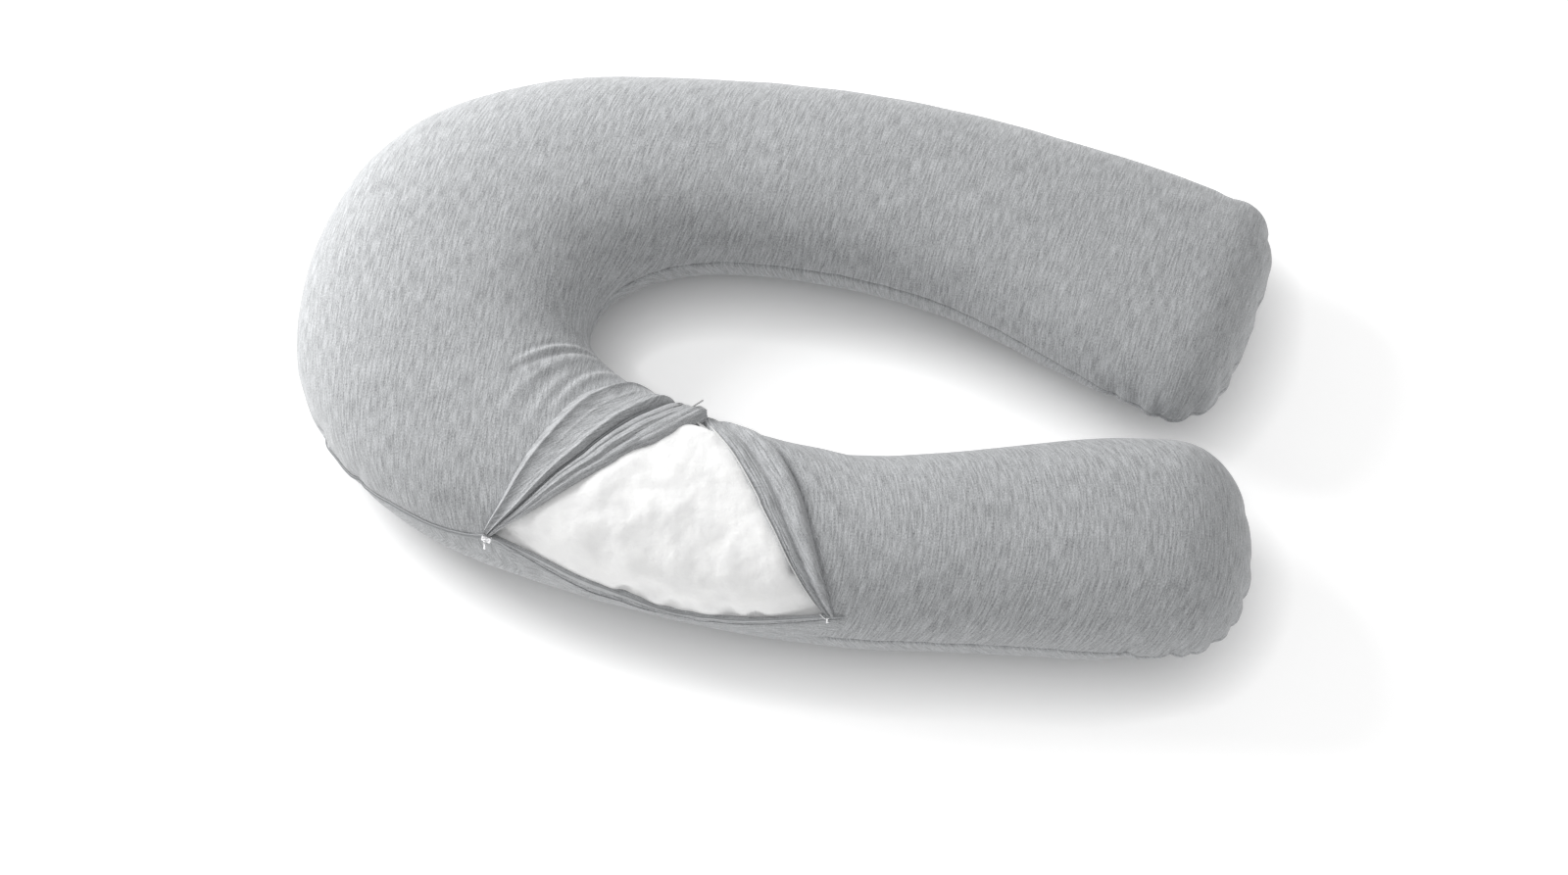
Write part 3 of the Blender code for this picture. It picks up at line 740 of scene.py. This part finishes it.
def flat_places(distance, angle):
    """Each point's place on the cloth, unrolled sideways from the crown or the middle of the underside.

    Over an arm's end, the cloth runs on as it drops away from the plain section.
    """
    middle, reach, _ = SPINE.at(distance[:, 0])
    aside = unit(reach)
    tangent = unit(np.gradient(middle, axis=0))
    tangent *= np.where(distance[:, 0] < SPINE.length / 2, -1, 1)[:, None]
    plain = raw_skin(distance, angle, rounded=False)
    points = raw_skin(distance, angle)
    steps = np.linalg.norm(np.diff(plain, axis=1, append=plain[:, :1]), axis=2)
    run = np.c_[np.zeros(len(plain)), np.cumsum(steps, axis=1)][:, :-1]
    crown = int(np.argmin(np.abs(angle[0] - 90)))
    under = int(np.argmin(np.abs(angle[0] - 270)))
    upper = angle[0] <= 180
    arc = np.where(upper[None, :], run[:, crown : crown + 1] - run, run - run[:, under : under + 1])
    drop = np.zeros(arc.shape)
    for row in np.flatnonzero(cap_share(distance[:, 0]) < 1):
        for half in (upper, ~upper):
            across = (plain[row, half, :2] - middle[row]) @ aside[row]
            order = np.argsort(across)
            spot = (points[row, half, :2] - middle[row]) @ aside[row]
            height = np.interp(spot, across[order], plain[row, half, 2][order])
            arc[row, half] = np.interp(spot, across[order], arc[row, half][order])
            drop[row, half] = np.abs(height - points[row, half, 2])
    flat = middle[:, None] - MIDDLE[:2] + arc[..., None] * aside[:, None]
    flat += drop[..., None] * tangent[:, None]
    return np.stack([flat[..., 0] - lean(distance, flat), flat[..., 1], 0 * flat[..., 0]], axis=-1)


def opening_depth(distance, angle):
    """How far inside the opening or under its lower lip a point lies, in metres across the surface."""
    rows = np.array(OPENING)[::-1]
    lip = np.array(LOWER_WELT)[::-1]
    low = np.interp(distance, lip[:, 0], lip[:, 3])
    high = np.interp(distance, rows[:, 0], rows[:, 2])
    signed = np.where(angle > 180, angle - 360, angle)
    around = np.minimum(signed - low, high - signed) * np.radians(1) * ARM_RADIUS
    along = np.minimum(distance - rows[0, 0], rows[-1, 0] - distance)
    return np.minimum(around, along)


def strip_depth(distance, angle, table):
    """How far under a strip of folds a point lies, in metres."""
    rows = np.array(table)
    edge = np.interp(angle, rows[:, 1], rows[:, 0])
    foot = np.interp(angle, rows[:, 3], rows[:, 2])
    way = np.sign(foot - edge)
    inside = np.minimum((distance - edge) * way, (foot - distance) * way)
    ends = np.minimum(angle - rows[0, 1], rows[-1, 1] - angle) * np.radians(1) * ARM_RADIUS
    return np.minimum(inside, ends)


def with_hubs(grid):
    """The points of a grid, then the middles of its first and last rows."""
    return np.vstack([grid.reshape(-1, 3), grid[0].mean(axis=0), grid[-1].mean(axis=0)])


def make_body():
    """The cover's closed tube, drawn in under the opening and the folds."""
    turn = np.radians(90) * np.arange(CAP_STATIONS + 1) / CAP_STATIONS
    turn[0] = turn[1] * 0.2
    near = CAP_LENGTH * (1 - np.cos(turn) ** (2 / NEAR_BLUNTNESS))
    far = SPINE.length - CAP_LENGTH * (1 - np.cos(turn) ** (2 / FAR_BLUNTNESS))
    straight = SPINE.length - 2 * CAP_LENGTH
    count = int(round(straight / STATION_GAP))
    distance = np.r_[near, CAP_LENGTH + straight * np.arange(1, count) / count, far[::-1]][:, None]
    upper = list(SEAM_ANGLES) + list(np.arange(SEAM_ANGLES[-1] + UPPER_STEP, 89, UPPER_STEP)) + [90.0]
    lower = list(SEAM_ANGLES[1:]) + list(LOWER_ANGLES) + [90.0]
    angle = upper + [180 - a for a in reversed(upper[:-1])]
    angle += [180 + a for a in lower] + [360 - a for a in reversed(lower[:-1])]
    angle = np.array(angle)[None, :]
    distance, angle = np.broadcast_arrays(distance, angle)
    points = cover_skin(distance, angle)
    cloth = flat_places(distance, angle)
    sunk = OPENING_SINK * ease((opening_depth(distance, angle) + 0.003) / 0.008)
    for table in (LEFT_FOLDS, RIGHT_FOLDS):
        sunk = np.maximum(sunk, FOLD_SINK * ease((strip_depth(distance, angle, table) - 0.001) / 0.008))
    points = points - sunk[..., None] * skin_normal(distance, angle)
    rows, columns = angle.shape
    faces = grid_faces(rows, columns, closed=True)[:, ::-1]
    first, last = rows * columns, (rows - 1) * columns
    ends = [(first, k, (k + 1) % columns) for k in range(columns)]
    ends += [(first + 1, last + (k + 1) % columns, last + k) for k in range(columns)]
    points, cloth = with_hubs(points), with_hubs(cloth)
    body = build("cover_body", points, faces, cloth, KNIT, "pillow_cover", extra=ends)


def profile_points(profile, columns, width):
    """A profile's shares and lifts in metres, rounded at its corners, for a strip about so wide."""
    rows = np.array(profile)
    scale = np.array([width, 0.001])
    steps = np.linalg.norm(np.diff(rows * scale, axis=0), axis=1)
    run = np.r_[0, np.cumsum(steps * np.where(rows[1:, 0] > 1.4, 0.3, 1.0))]
    even = np.linspace(0, run[-1], columns)
    out = np.stack([np.interp(even, run, rows[:, k]) for k in (0, 1)], axis=1)
    for _ in range(2):
        out[1:-1] = (out[:-2] + 2 * out[1:-1] + out[2:]) / 4
    return out[:, 0], out[:, 1] / 1000


def make_strip(name, table, profile, creases, seed, width, flip=False):
    """Folded cloth beside the opening: rows along it, each with the folds' section."""
    rows = smooth_rows(table, STRIP_ROWS)
    share, lift = profile_points(profile, STRIP_COLUMNS, width)
    length = np.linspace(0, 1, len(rows))[:, None]
    size = np.maximum(rows[:, 4:5], LEAST_SIZE)
    distance = rows[:, 0:1] + (rows[:, 2:3] - rows[:, 0:1]) * share
    angle = rows[:, 1:2] + (rows[:, 3:4] - rows[:, 1:2]) * share
    shares = np.broadcast_to(share, distance.shape)
    height = lift * np.where(lift > 0, size, np.clip(0.35 + 0.65 * size, 0, 1))
    for start, end, first, last, tall, half in creases:
        middle = start + (end - start) * length
        fade = np.sin(np.pi * np.clip((length - first) / (last - first), 0, 1)) ** 0.8
        top = np.where((lift[None, :] > 0) | (shares > 0.5), 1.0, 0.0)
        height = height + tall / 1000 * fade * top * np.exp(-(((shares - middle) / half) ** 2))
    base = cover_skin(distance, angle, seam=False)
    normal = skin_normal(distance, angle)
    wander = 0.0006 * cloud(base, (0.016, 0.05, 0.05), seed) + 0.0007 * cloud(base, 0.03, seed + 1)
    height = height + wander * np.where(lift[None, :] > 0.002, 1.0, 0.2)
    points = base + height[..., None] * normal
    run = run_along(points[:, len(share) // 2])
    steps = np.linalg.norm(np.diff(points, axis=1), axis=2)
    over = np.c_[np.zeros(len(points)), np.cumsum(steps, axis=1)]
    cloth = np.stack([over + 3.0 + seed, np.broadcast_to(run[:, None], over.shape), 0 * over], axis=-1)
    faces = grid_faces(*distance.shape)
    if flip:
        faces = faces[:, ::-1]
    build(name, points, faces, cloth, KNIT, "pillow_cover")


# ---- the filling ----
def filling_point(distance, low, high, share, depth):
    """Points across the opening, at a depth from the section's middle out to its skin."""
    angle = low + (high - low) * share
    flat = SPINE.at(distance)[0] - MIDDLE[:2]
    middle = np.concatenate([flat, np.full(distance.shape + (1,), SEAM_HEIGHT)], -1)
    return middle + depth[..., None] * (skin(distance, angle) - middle)


def make_filling():
    """The bulge of fibre in the opening, with lumps and hollows."""
    rows = smooth_rows(OPENING, FILLING_ROWS)
    share = np.linspace(0, FILLING_REACH, FILLING_COLUMNS)[None, :]
    distance = FILLING_MIDDLE + FILLING_STRETCH * (rows[:, 0:1] - FILLING_MIDDLE)
    distance = np.broadcast_to(distance, (len(rows), FILLING_COLUMNS))
    lip = rows[:, 1:2]
    low, high = lip - 4.0, np.minimum(rows[:, 2:3] + 3.0, 129.0)
    along = np.sin(np.linspace(0, np.pi, len(rows)))[:, None] ** 0.35
    from_lip = low + (high - low) * share - lip
    from_edge = np.clip((FILLING_REACH - share) * (high - low) / 22, 0, 1)
    rising = 0.25 * ease((from_lip + 1) / 7) + 0.75 * np.sin(np.pi / 2 * np.clip(from_lip / 36, 0, 1))
    swell = along * rising * np.sin(np.pi / 2 * from_edge) ** 0.7
    welt = np.array(LOWER_WELT)[::-1]
    height = np.interp(rows[:, 0:1], welt[:, 0], welt[:, 4])
    edge = (LIP_RISE + LIP_RISE_BY_SIZE * height) * along * (1 - ease(share / 0.40))
    depth = FILLING_FLOOR + FILLING_SWELL * swell + edge * (1 - swell)
    points = filling_point(distance, low, high, share, depth)
    normal = skin_normal(distance, low + (high - low) * share)
    lumps = 0.0046 * cloud(points, (0.075, 0.055, 0.05), 21) + 0.0026 * cloud(points, 0.030, 22)
    lumps += 0.0007 * cloud(points, 0.013, 23) + 0.0002 * cloud(points, 0.006, 24)
    points = points + (lumps * (0.15 + 0.85 * swell))[..., None] * normal
    for spot, turn, deep, wide in HOLLOWS:
        place = skin(spot, turn)
        strength = np.exp(-((np.linalg.norm(points - place, axis=-1) / (wide / 1000)) ** 2))
        points = points - (deep / 1000 * strength)[..., None] * normal
    faces = grid_faces(*distance.shape)[:, ::-1]
    fluff = build("filling_fluff", points, faces, None, FIBRE, "filling")
    return points, normal


def make_wisps(points, normal):
    """Fine fibres that stand off the filling, each a narrow curved ribbon."""
    rng = np.random.default_rng(31)
    rows, columns = points.shape[:2]
    count = WISP_COUNT
    i = rng.integers(14, rows - 12, count)
    j = rng.integers(10, columns - 10, count)
    start = points[i, j]
    up = normal[i, j]
    turn = rng.uniform(0, 2 * np.pi, count)
    east = unit(np.cross(up, np.array([0.0, 1.0, 0.2])))
    north = np.cross(up, east)
    way = np.cos(turn)[:, None] * east + np.sin(turn)[:, None] * north
    side = np.cross(way, up)
    length = rng.uniform(0.005, 0.016, count)[:, None]
    sway = rng.uniform(-0.5, 0.5, count)[:, None]
    height = rng.uniform(0.0004, 0.0016, count)[:, None]
    width = 0.00007
    rings = []
    for share in np.linspace(0, 1, WISP_STEPS + 1):
        arch = np.sin(np.pi * share)
        spine = start + way * length * (share - 0.5) + side * length * sway * arch * 0.5
        spine = spine + up * (height * arch - 0.0003)
        rings.append(np.stack([spine - side * width, spine + side * width], axis=1))
    strands = np.stack(rings, axis=1).reshape(-1, 3)
    faces = []
    for k in range(WISP_STEPS):
        base = np.arange(count)[:, None] * 2 * (WISP_STEPS + 1) + 2 * k
        faces.append(np.c_[base, base + 1, base + 3, base + 2])
    build("filling_wisps", strands, np.vstack(faces), None, FIBRE, "filling")


# ---- the zip ----
def surface_frame(distance, angle, lift):
    """Axes on the cover: X along the pillow, Y down its side, Z off the surface."""
    along = unit(skin(distance + 0.002, angle) - skin(distance - 0.002, angle))
    normal = skin_normal(distance, angle)
    down = np.cross(normal, along)
    matrix = Matrix((Vector(along), Vector(down), Vector(normal))).transposed().to_4x4()
    matrix.translation = Vector(skin(distance, angle) + lift * normal)
    return matrix


def ribbon(name, middle, across, up, width, thickness, material, node):
    """A flat tape with thickness, along a line of points."""
    half = across * width / 2
    rise = up * thickness
    rings = np.stack([middle - half, middle + half, middle + half + rise, middle - half + rise], axis=1)
    cloth = np.zeros(rings.shape)
    cloth[..., 1] = run_along(middle)[:, None]
    cloth[..., 0] = (0, width, width, 0)
    faces = grid_faces(len(middle), 4, closed=True)
    last = 4 * (len(middle) - 1)
    caps = [(3, 2, 1, 0), (last, last + 1, last + 2, last + 3)]
    build(name, rings, faces, cloth, material, node, smooth=False, extra=caps)


def even_path(points, step):
    """Points at even steps along a path."""
    run = run_along(points)
    even = np.arange(step / 2, run[-1], step)
    return np.stack([np.interp(even, run, points[:, k]) for k in range(3)], axis=1)


def make_coil(name, line, up, node, width):
    """The zip's coil: a row of small rounded turns across the line."""
    middle = even_path(line, COIL_PITCH)
    lift = even_path(line + up * 0.01, COIL_PITCH)[: len(middle)]
    middle = middle[: len(lift)]
    along = unit(np.gradient(middle, axis=0))
    rise = unit(lift - middle)
    across = unit(np.cross(along, rise))
    sections = ((-1.0, 0.35), (-0.72, 0.85), (0.0, 1.0), (0.72, 0.85), (1.0, 0.35))
    corners = ((-1, 0.0), (-0.62, 0.8), (0.62, 0.8), (1, 0.0))
    points = []
    for side, size in sections:
        for a, b in corners:
            points.append(
                middle
                + across * side * width / 2
                + along * a * size * COIL_PITCH * 0.36
                + rise * (b * size * COIL_HEIGHT + 0.0001)
            )
    points = np.stack(points, axis=1)
    count, each = points.shape[0], len(sections) * 4
    faces = []
    for k in range(len(sections) - 1):
        for m in range(3):
            base = np.arange(count)[:, None] * each + 4 * k + m
            faces.append(np.c_[base, base + 1, base + 5, base + 4])
    for k in (0, len(sections) - 1):
        base = np.arange(count)[:, None] * each + 4 * k
        faces.append(np.c_[base, base + 1, base + 2, base + 3])
    flat = points.reshape(-1, 3)
    build(name, flat, np.vstack(faces), flat, COIL, node)


def make_closed_zip():
    rows = smooth_rows(CHAIN_ROUTE, 14)
    distance, angle = rows[:, 0], rows[:, 1]
    normal = skin_normal(distance, angle)
    middle = cover_skin(distance, angle, seam=False)
    across = unit(np.cross(np.gradient(middle, axis=0), normal))
    under, over = middle + normal * 0.0006, middle + normal * 0.0014
    ribbon("zip_closed_tape", under, across, normal, 0.0068, 0.0009, TAPE, "zip_chain_closed")
    make_coil("zip_closed_coil", over, normal, "zip_chain_closed", CLOSED_COIL_WIDTH)


def strip_line(table, share, lift_mm):
    """A line along a strip, at a share of its width and a lift, with its normals and its ways across."""
    rows = smooth_rows(table, STRIP_ROWS)
    distance, angle = (rows[:, 0:2] + (rows[:, 2:4] - rows[:, 0:2]) * share).T
    normal = skin_normal(distance, angle)
    lift = lift_mm / 1000 * np.maximum(rows[:, 4:5], LEAST_SIZE)
    points = cover_skin(distance, angle, seam=False) + normal * lift
    foot = skin(rows[:, 2], rows[:, 3]) - skin(rows[:, 0], rows[:, 1])
    across = foot - (foot * normal).sum(axis=1)[:, None] * normal
    return points, normal, unit(across)


def make_open_zip():
    """The open zip's tape and coil on the lower lip, and what shows of them on the folds."""
    upper, up, _ = strip_line(LOWER_WELT, *LIP_TAPE_TOP)
    lower, _, _ = strip_line(LOWER_WELT, *LIP_TAPE_FOOT)
    slope = lower - upper
    width = np.linalg.norm(slope, axis=1)[:, None]
    slope /= width
    out = unit(np.cross(slope, np.gradient(upper, axis=0)))
    out *= np.sign((out * up).sum(axis=1))[:, None]
    middle = (upper + lower) / 2 + out * 0.0006
    coil = upper + out * 0.0013 + slope * 0.0010
    part = LOWER_TAPE_ROWS
    across = (slope * width)[part]
    ribbon("zip_lower_tape", middle[part], across, out[part], 1.0, 0.0008, PAINTED_LIGHT_LIP_TAPE, "zip_tape_lower")
    make_coil("zip_lower_coil", coil[part], out[part], "zip_tape_lower", OPEN_COIL_WIDTH)
    part = UPPER_TAPE_ROWS
    line, up, _ = strip_line(LEFT_FOLDS, *COIL_ON_FOLDS)
    make_coil("zip_left_coil", line[part], up[part], "zip_tape_upper_left", OPEN_COIL_WIDTH)
    line, up, across = (values[part] for values in strip_line(RIGHT_FOLDS, *TAPE_ON_FOLDS))
    ribbon("zip_right_tape", line, across, up, 0.0016, 0.0012, EDGE, "zip_tape_upper_right")
    rows = smooth_rows(TAPE_SLIVER, 12)
    normal = skin_normal(rows[:, 0], rows[:, 1])
    line = skin(rows[:, 0], rows[:, 1]) + 0.0045 * normal
    across = rows[:, 2:3] / 1000 * unit(np.cross(np.gradient(line, axis=0), normal))
    ribbon("zip_right_sliver", line, across, normal, 1.0, 0.0006, EDGE, "zip_tape_upper_right")


def solid(name, shapes, node, place):
    """A small metal piece of several blocks, bevelled, at a place."""
    shape = bmesh.new()
    for size, middle, taper in shapes:
        made = bmesh.ops.create_cube(shape, size=1.0)["verts"]
        for corner in made:
            narrow = taper if corner.co.x > 0 else 1.0
            x, y, z = corner.co
            corner.co = Vector((x * size[0], y * size[1] * narrow, z * size[2])) + Vector(middle)
    edges = {"geom": list(shape.edges), "affect": "EDGES", "clamp_overlap": True}
    bmesh.ops.bevel(shape, offset=0.0003, segments=3, profile=0.5, **edges)
    mesh = bpy.data.meshes.new(name)
    shape.to_mesh(mesh)
    shape.free()
    mesh.transform(place)
    mesh.materials.append(METAL)
    add_piece(name, mesh, node)


def wire(name, path, radius, material, node, place=None, closed=False):
    """A round wire along a path of points."""
    curve = bpy.data.curves.new(name, "CURVE")
    curve.dimensions = "3D"
    curve.bevel_depth = radius
    curve.bevel_resolution = 3
    curve.use_fill_caps = True
    line = curve.splines.new("POLY")
    line.points.add(len(path) - 1)
    for point, spot in zip(line.points, path):
        point.co = (*spot, 1)
    line.use_cyclic_u = closed
    guide = add_item(name + "_path", curve)
    mesh = bpy.data.meshes.new_from_object(guide.evaluated_get(bpy.context.evaluated_depsgraph_get()))
    bpy.data.objects.remove(guide, do_unlink=True)
    mesh.name = name
    if place is not None:
        mesh.transform(place)
    mesh.shade_smooth()
    mesh.materials.clear()
    mesh.materials.append(material)
    add_piece(name, mesh, node)


def circle(radius, count=28):
    turn = np.linspace(0, 2 * np.pi, count, endpoint=False)
    return np.stack([radius * np.cos(turn), radius * np.sin(turn), 0 * turn], axis=1)


def make_metal():
    """The slider with its bridge, ring and tab, and the stop's clamp."""
    place = surface_frame(*SLIDER_PLACE, 0.0046)
    body = (
        ((0.0115, 0.0080, 0.0012), (0, 0, 0.0016), 0.80),
        ((0.0115, 0.0080, 0.0012), (0, 0, -0.0016), 0.80),
        ((0.0030, 0.0022, 0.0030), (-0.0035, 0, 0), 1.0),
        ((0.0100, 0.0010, 0.0014), (0, 0.0034, 0.0009), 1.0),
        ((0.0100, 0.0010, 0.0014), (0, -0.0034, 0.0009), 1.0),
    )
    solid("slider_body", body, "zip_slider", place)
    bridge = np.linspace(-0.004, 0.004, 15)
    arch = [(x, 0, 0.0019 + 0.0030 * np.sqrt(max(0, 1 - (x / 0.0040) ** 2))) for x in bridge]
    wire("slider_bridge", arch, 0.0006, METAL, "zip_slider", place)
    ring = circle(0.0026)
    ring_place = place @ Matrix.Translation((0, 0.0014, 0.0058)) @ Matrix.Rotation(np.radians(90), 4, "Y")
    wire("pull_ring", ring, 0.00055, METAL, "zip_pull", ring_place, closed=True)
    hang = place @ Matrix.Translation((0, 0.0036, 0.0050)) @ Matrix.Rotation(np.radians(-18), 4, "X")
    tab = (((0.0020, 0.0105, 0.0010), (0, 0.0058, 0), 1.0), ((0.0028, 0.0034, 0.0013), (0, 0.0108, 0), 1.0))
    solid("pull_tab", tab, "zip_pull", hang)
    stop = surface_frame(*STOP_PLACE, 0.0034)
    clamp = (
        ((0.0016, 0.0072, 0.0014), (0.0006, 0.0006, 0.0010), 1.0),
        ((0.0034, 0.0012, 0.0020), (0, -0.0026, 0), 1.0),
        ((0.0034, 0.0012, 0.0020), (0, 0.0036, 0), 1.0),
    )
    solid("zip_stop_clamp", clamp, "zip_stop", stop)


def surface_path(rows):
    """A smooth path over the cover. Columns: distance, angle, lift in mm."""
    rows = smooth_rows(rows, 10)
    return cover_skin(rows[:, 0], rows[:, 1]) + rows[:, 2:3] / 1000 * skin_normal(rows[:, 0], rows[:, 1])


def make_hem_end():
    """The rolled hem where it comes to a blunt end over the opening's tip, with its lengthwise folds."""
    rows = smooth_rows(HEM_END, 14)
    normal = skin_normal(rows[:, 0], rows[:, 1])
    middle = skin(rows[:, 0], rows[:, 1]) + rows[:, 2:3] / 1000 * normal
    along = unit(np.gradient(middle, axis=0))
    across = unit(np.cross(along, normal))
    turn = np.linspace(0, 2 * np.pi, 72, endpoint=False)[None, :]
    share = np.linspace(0, 1, len(rows))[:, None]
    folds = 1 + 0.05 * np.cos(6 * turn + 2.2 * share) + 0.03 * np.cos(11 * turn - 1.5 * share + 1.0)
    wide = rows[:, 3:4] / 1000 * np.cos(turn) * folds
    tall = rows[:, 4:5] / 1000 * np.sin(turn) * folds
    points = middle[:, None] + wide[..., None] * across[:, None] + tall[..., None] * normal[:, None]
    run = run_along(middle)[:, None]
    cloth = np.stack([0.012 * turn + 7 + 0 * run, run + 0 * turn, 0 * (run + turn)], axis=-1)
    faces = grid_faces(*wide.shape, closed=True)
    build("cover_hem_end", points, faces, cloth, KNIT, "pillow_cover")


def make_zip_ends():
    """What shows of the zip's ends: a small loop in the fold, a pin at the tip and the stop's wire."""
    loop = surface_path([(0.7405, 137, 6.5), (0.7375, 136, 8.5), (0.7335, 139, 9.0), (0.7315, 145, 8.0)])
    wire("zip_end_loop", loop, 0.0008, COIL_END, "zip_tape_upper_left")
    back = surface_path([(0.7385, 141, 6.5), (0.7360, 143, 8.5), (0.7330, 147, 8.0), (0.7305, 152, 6.0)])
    wire("zip_end_tail", back, 0.0008, COIL_END, "zip_tape_upper_left")
    root = skin(0.7160, 141.0) + 0.012 * skin_normal(0.7160, 141.0)
    tip = root + np.array([0.0150, 0.0085, 0.0040])
    wire("zip_end_pin", np.linspace(root, tip, 5), 0.0012, COIL_END, "zip_tape_upper_left")
    stop = surface_path([(0.5065, 27.5, 3.5), (0.5040, 26.2, 4.6), (0.5015, 24.8, 4.6), (0.4990, 23.4, 3.5)])
    wire("zip_stop_wire", stop, 0.0007, METAL, "zip_stop")


make_body()
make_strip("cover_folds_left", LEFT_FOLDS, LEFT_PROFILE, LEFT_CREASES, 41, 0.08)
make_strip("cover_folds_right", RIGHT_FOLDS, RIGHT_PROFILE, RIGHT_CREASES, 51, 0.05, flip=True)
make_strip("cover_lip_lower", LOWER_WELT, WELT_PROFILE, (), 61, 0.02, flip=True)
make_wisps(*make_filling())
make_hem_end()
make_closed_zip()
make_open_zip()
make_zip_ends()
make_metal()


# ---- floor, light and camera ----
def make_stage():
    bpy.ops.mesh.primitive_plane_add(size=14, location=(0, 0, -0.0005))
    floor = bpy.context.object
    floor.name = "floor"
    floor.data.materials.append(floor_material())


def add_light(name, energy, size, place, aim):
    lamp = bpy.data.lights.new(name, "AREA")
    lamp.energy = energy
    lamp.size = size
    lamp.shape = "DISK"
    item = add_item(name, lamp)
    item.location = place
    item.rotation_euler = (Vector(aim) - Vector(place)).to_track_quat("-Z", "Y").to_euler()


def make_world(strength):
    world = bpy.data.worlds.new("studio")
    world.use_nodes = True
    ground = world.node_tree.nodes["Background"]
    ground.inputs["Color"].default_value = (1, 1, 1, 1)
    ground.inputs["Strength"].default_value = strength
    bpy.context.scene.world = world


def make_camera():
    camera = bpy.data.cameras.new("camera")
    camera.sensor_width = 36
    camera.lens = 83.53
    camera.shift_x = 0.00125
    camera.shift_y = -0.0409
    item = add_item("camera", camera)
    item.location = (-0.0063, -2.1287, 4.0633)
    item.rotation_euler = (np.radians(28), 0, 0)
    bpy.context.scene.camera = item


make_stage()
add_light("key", 108, 1.8, (-2.4, 1.5, 1.6), (0, 0, 0.10))
make_world(0.64)
make_camera()
bpy.context.scene.view_settings.view_transform = "Standard"
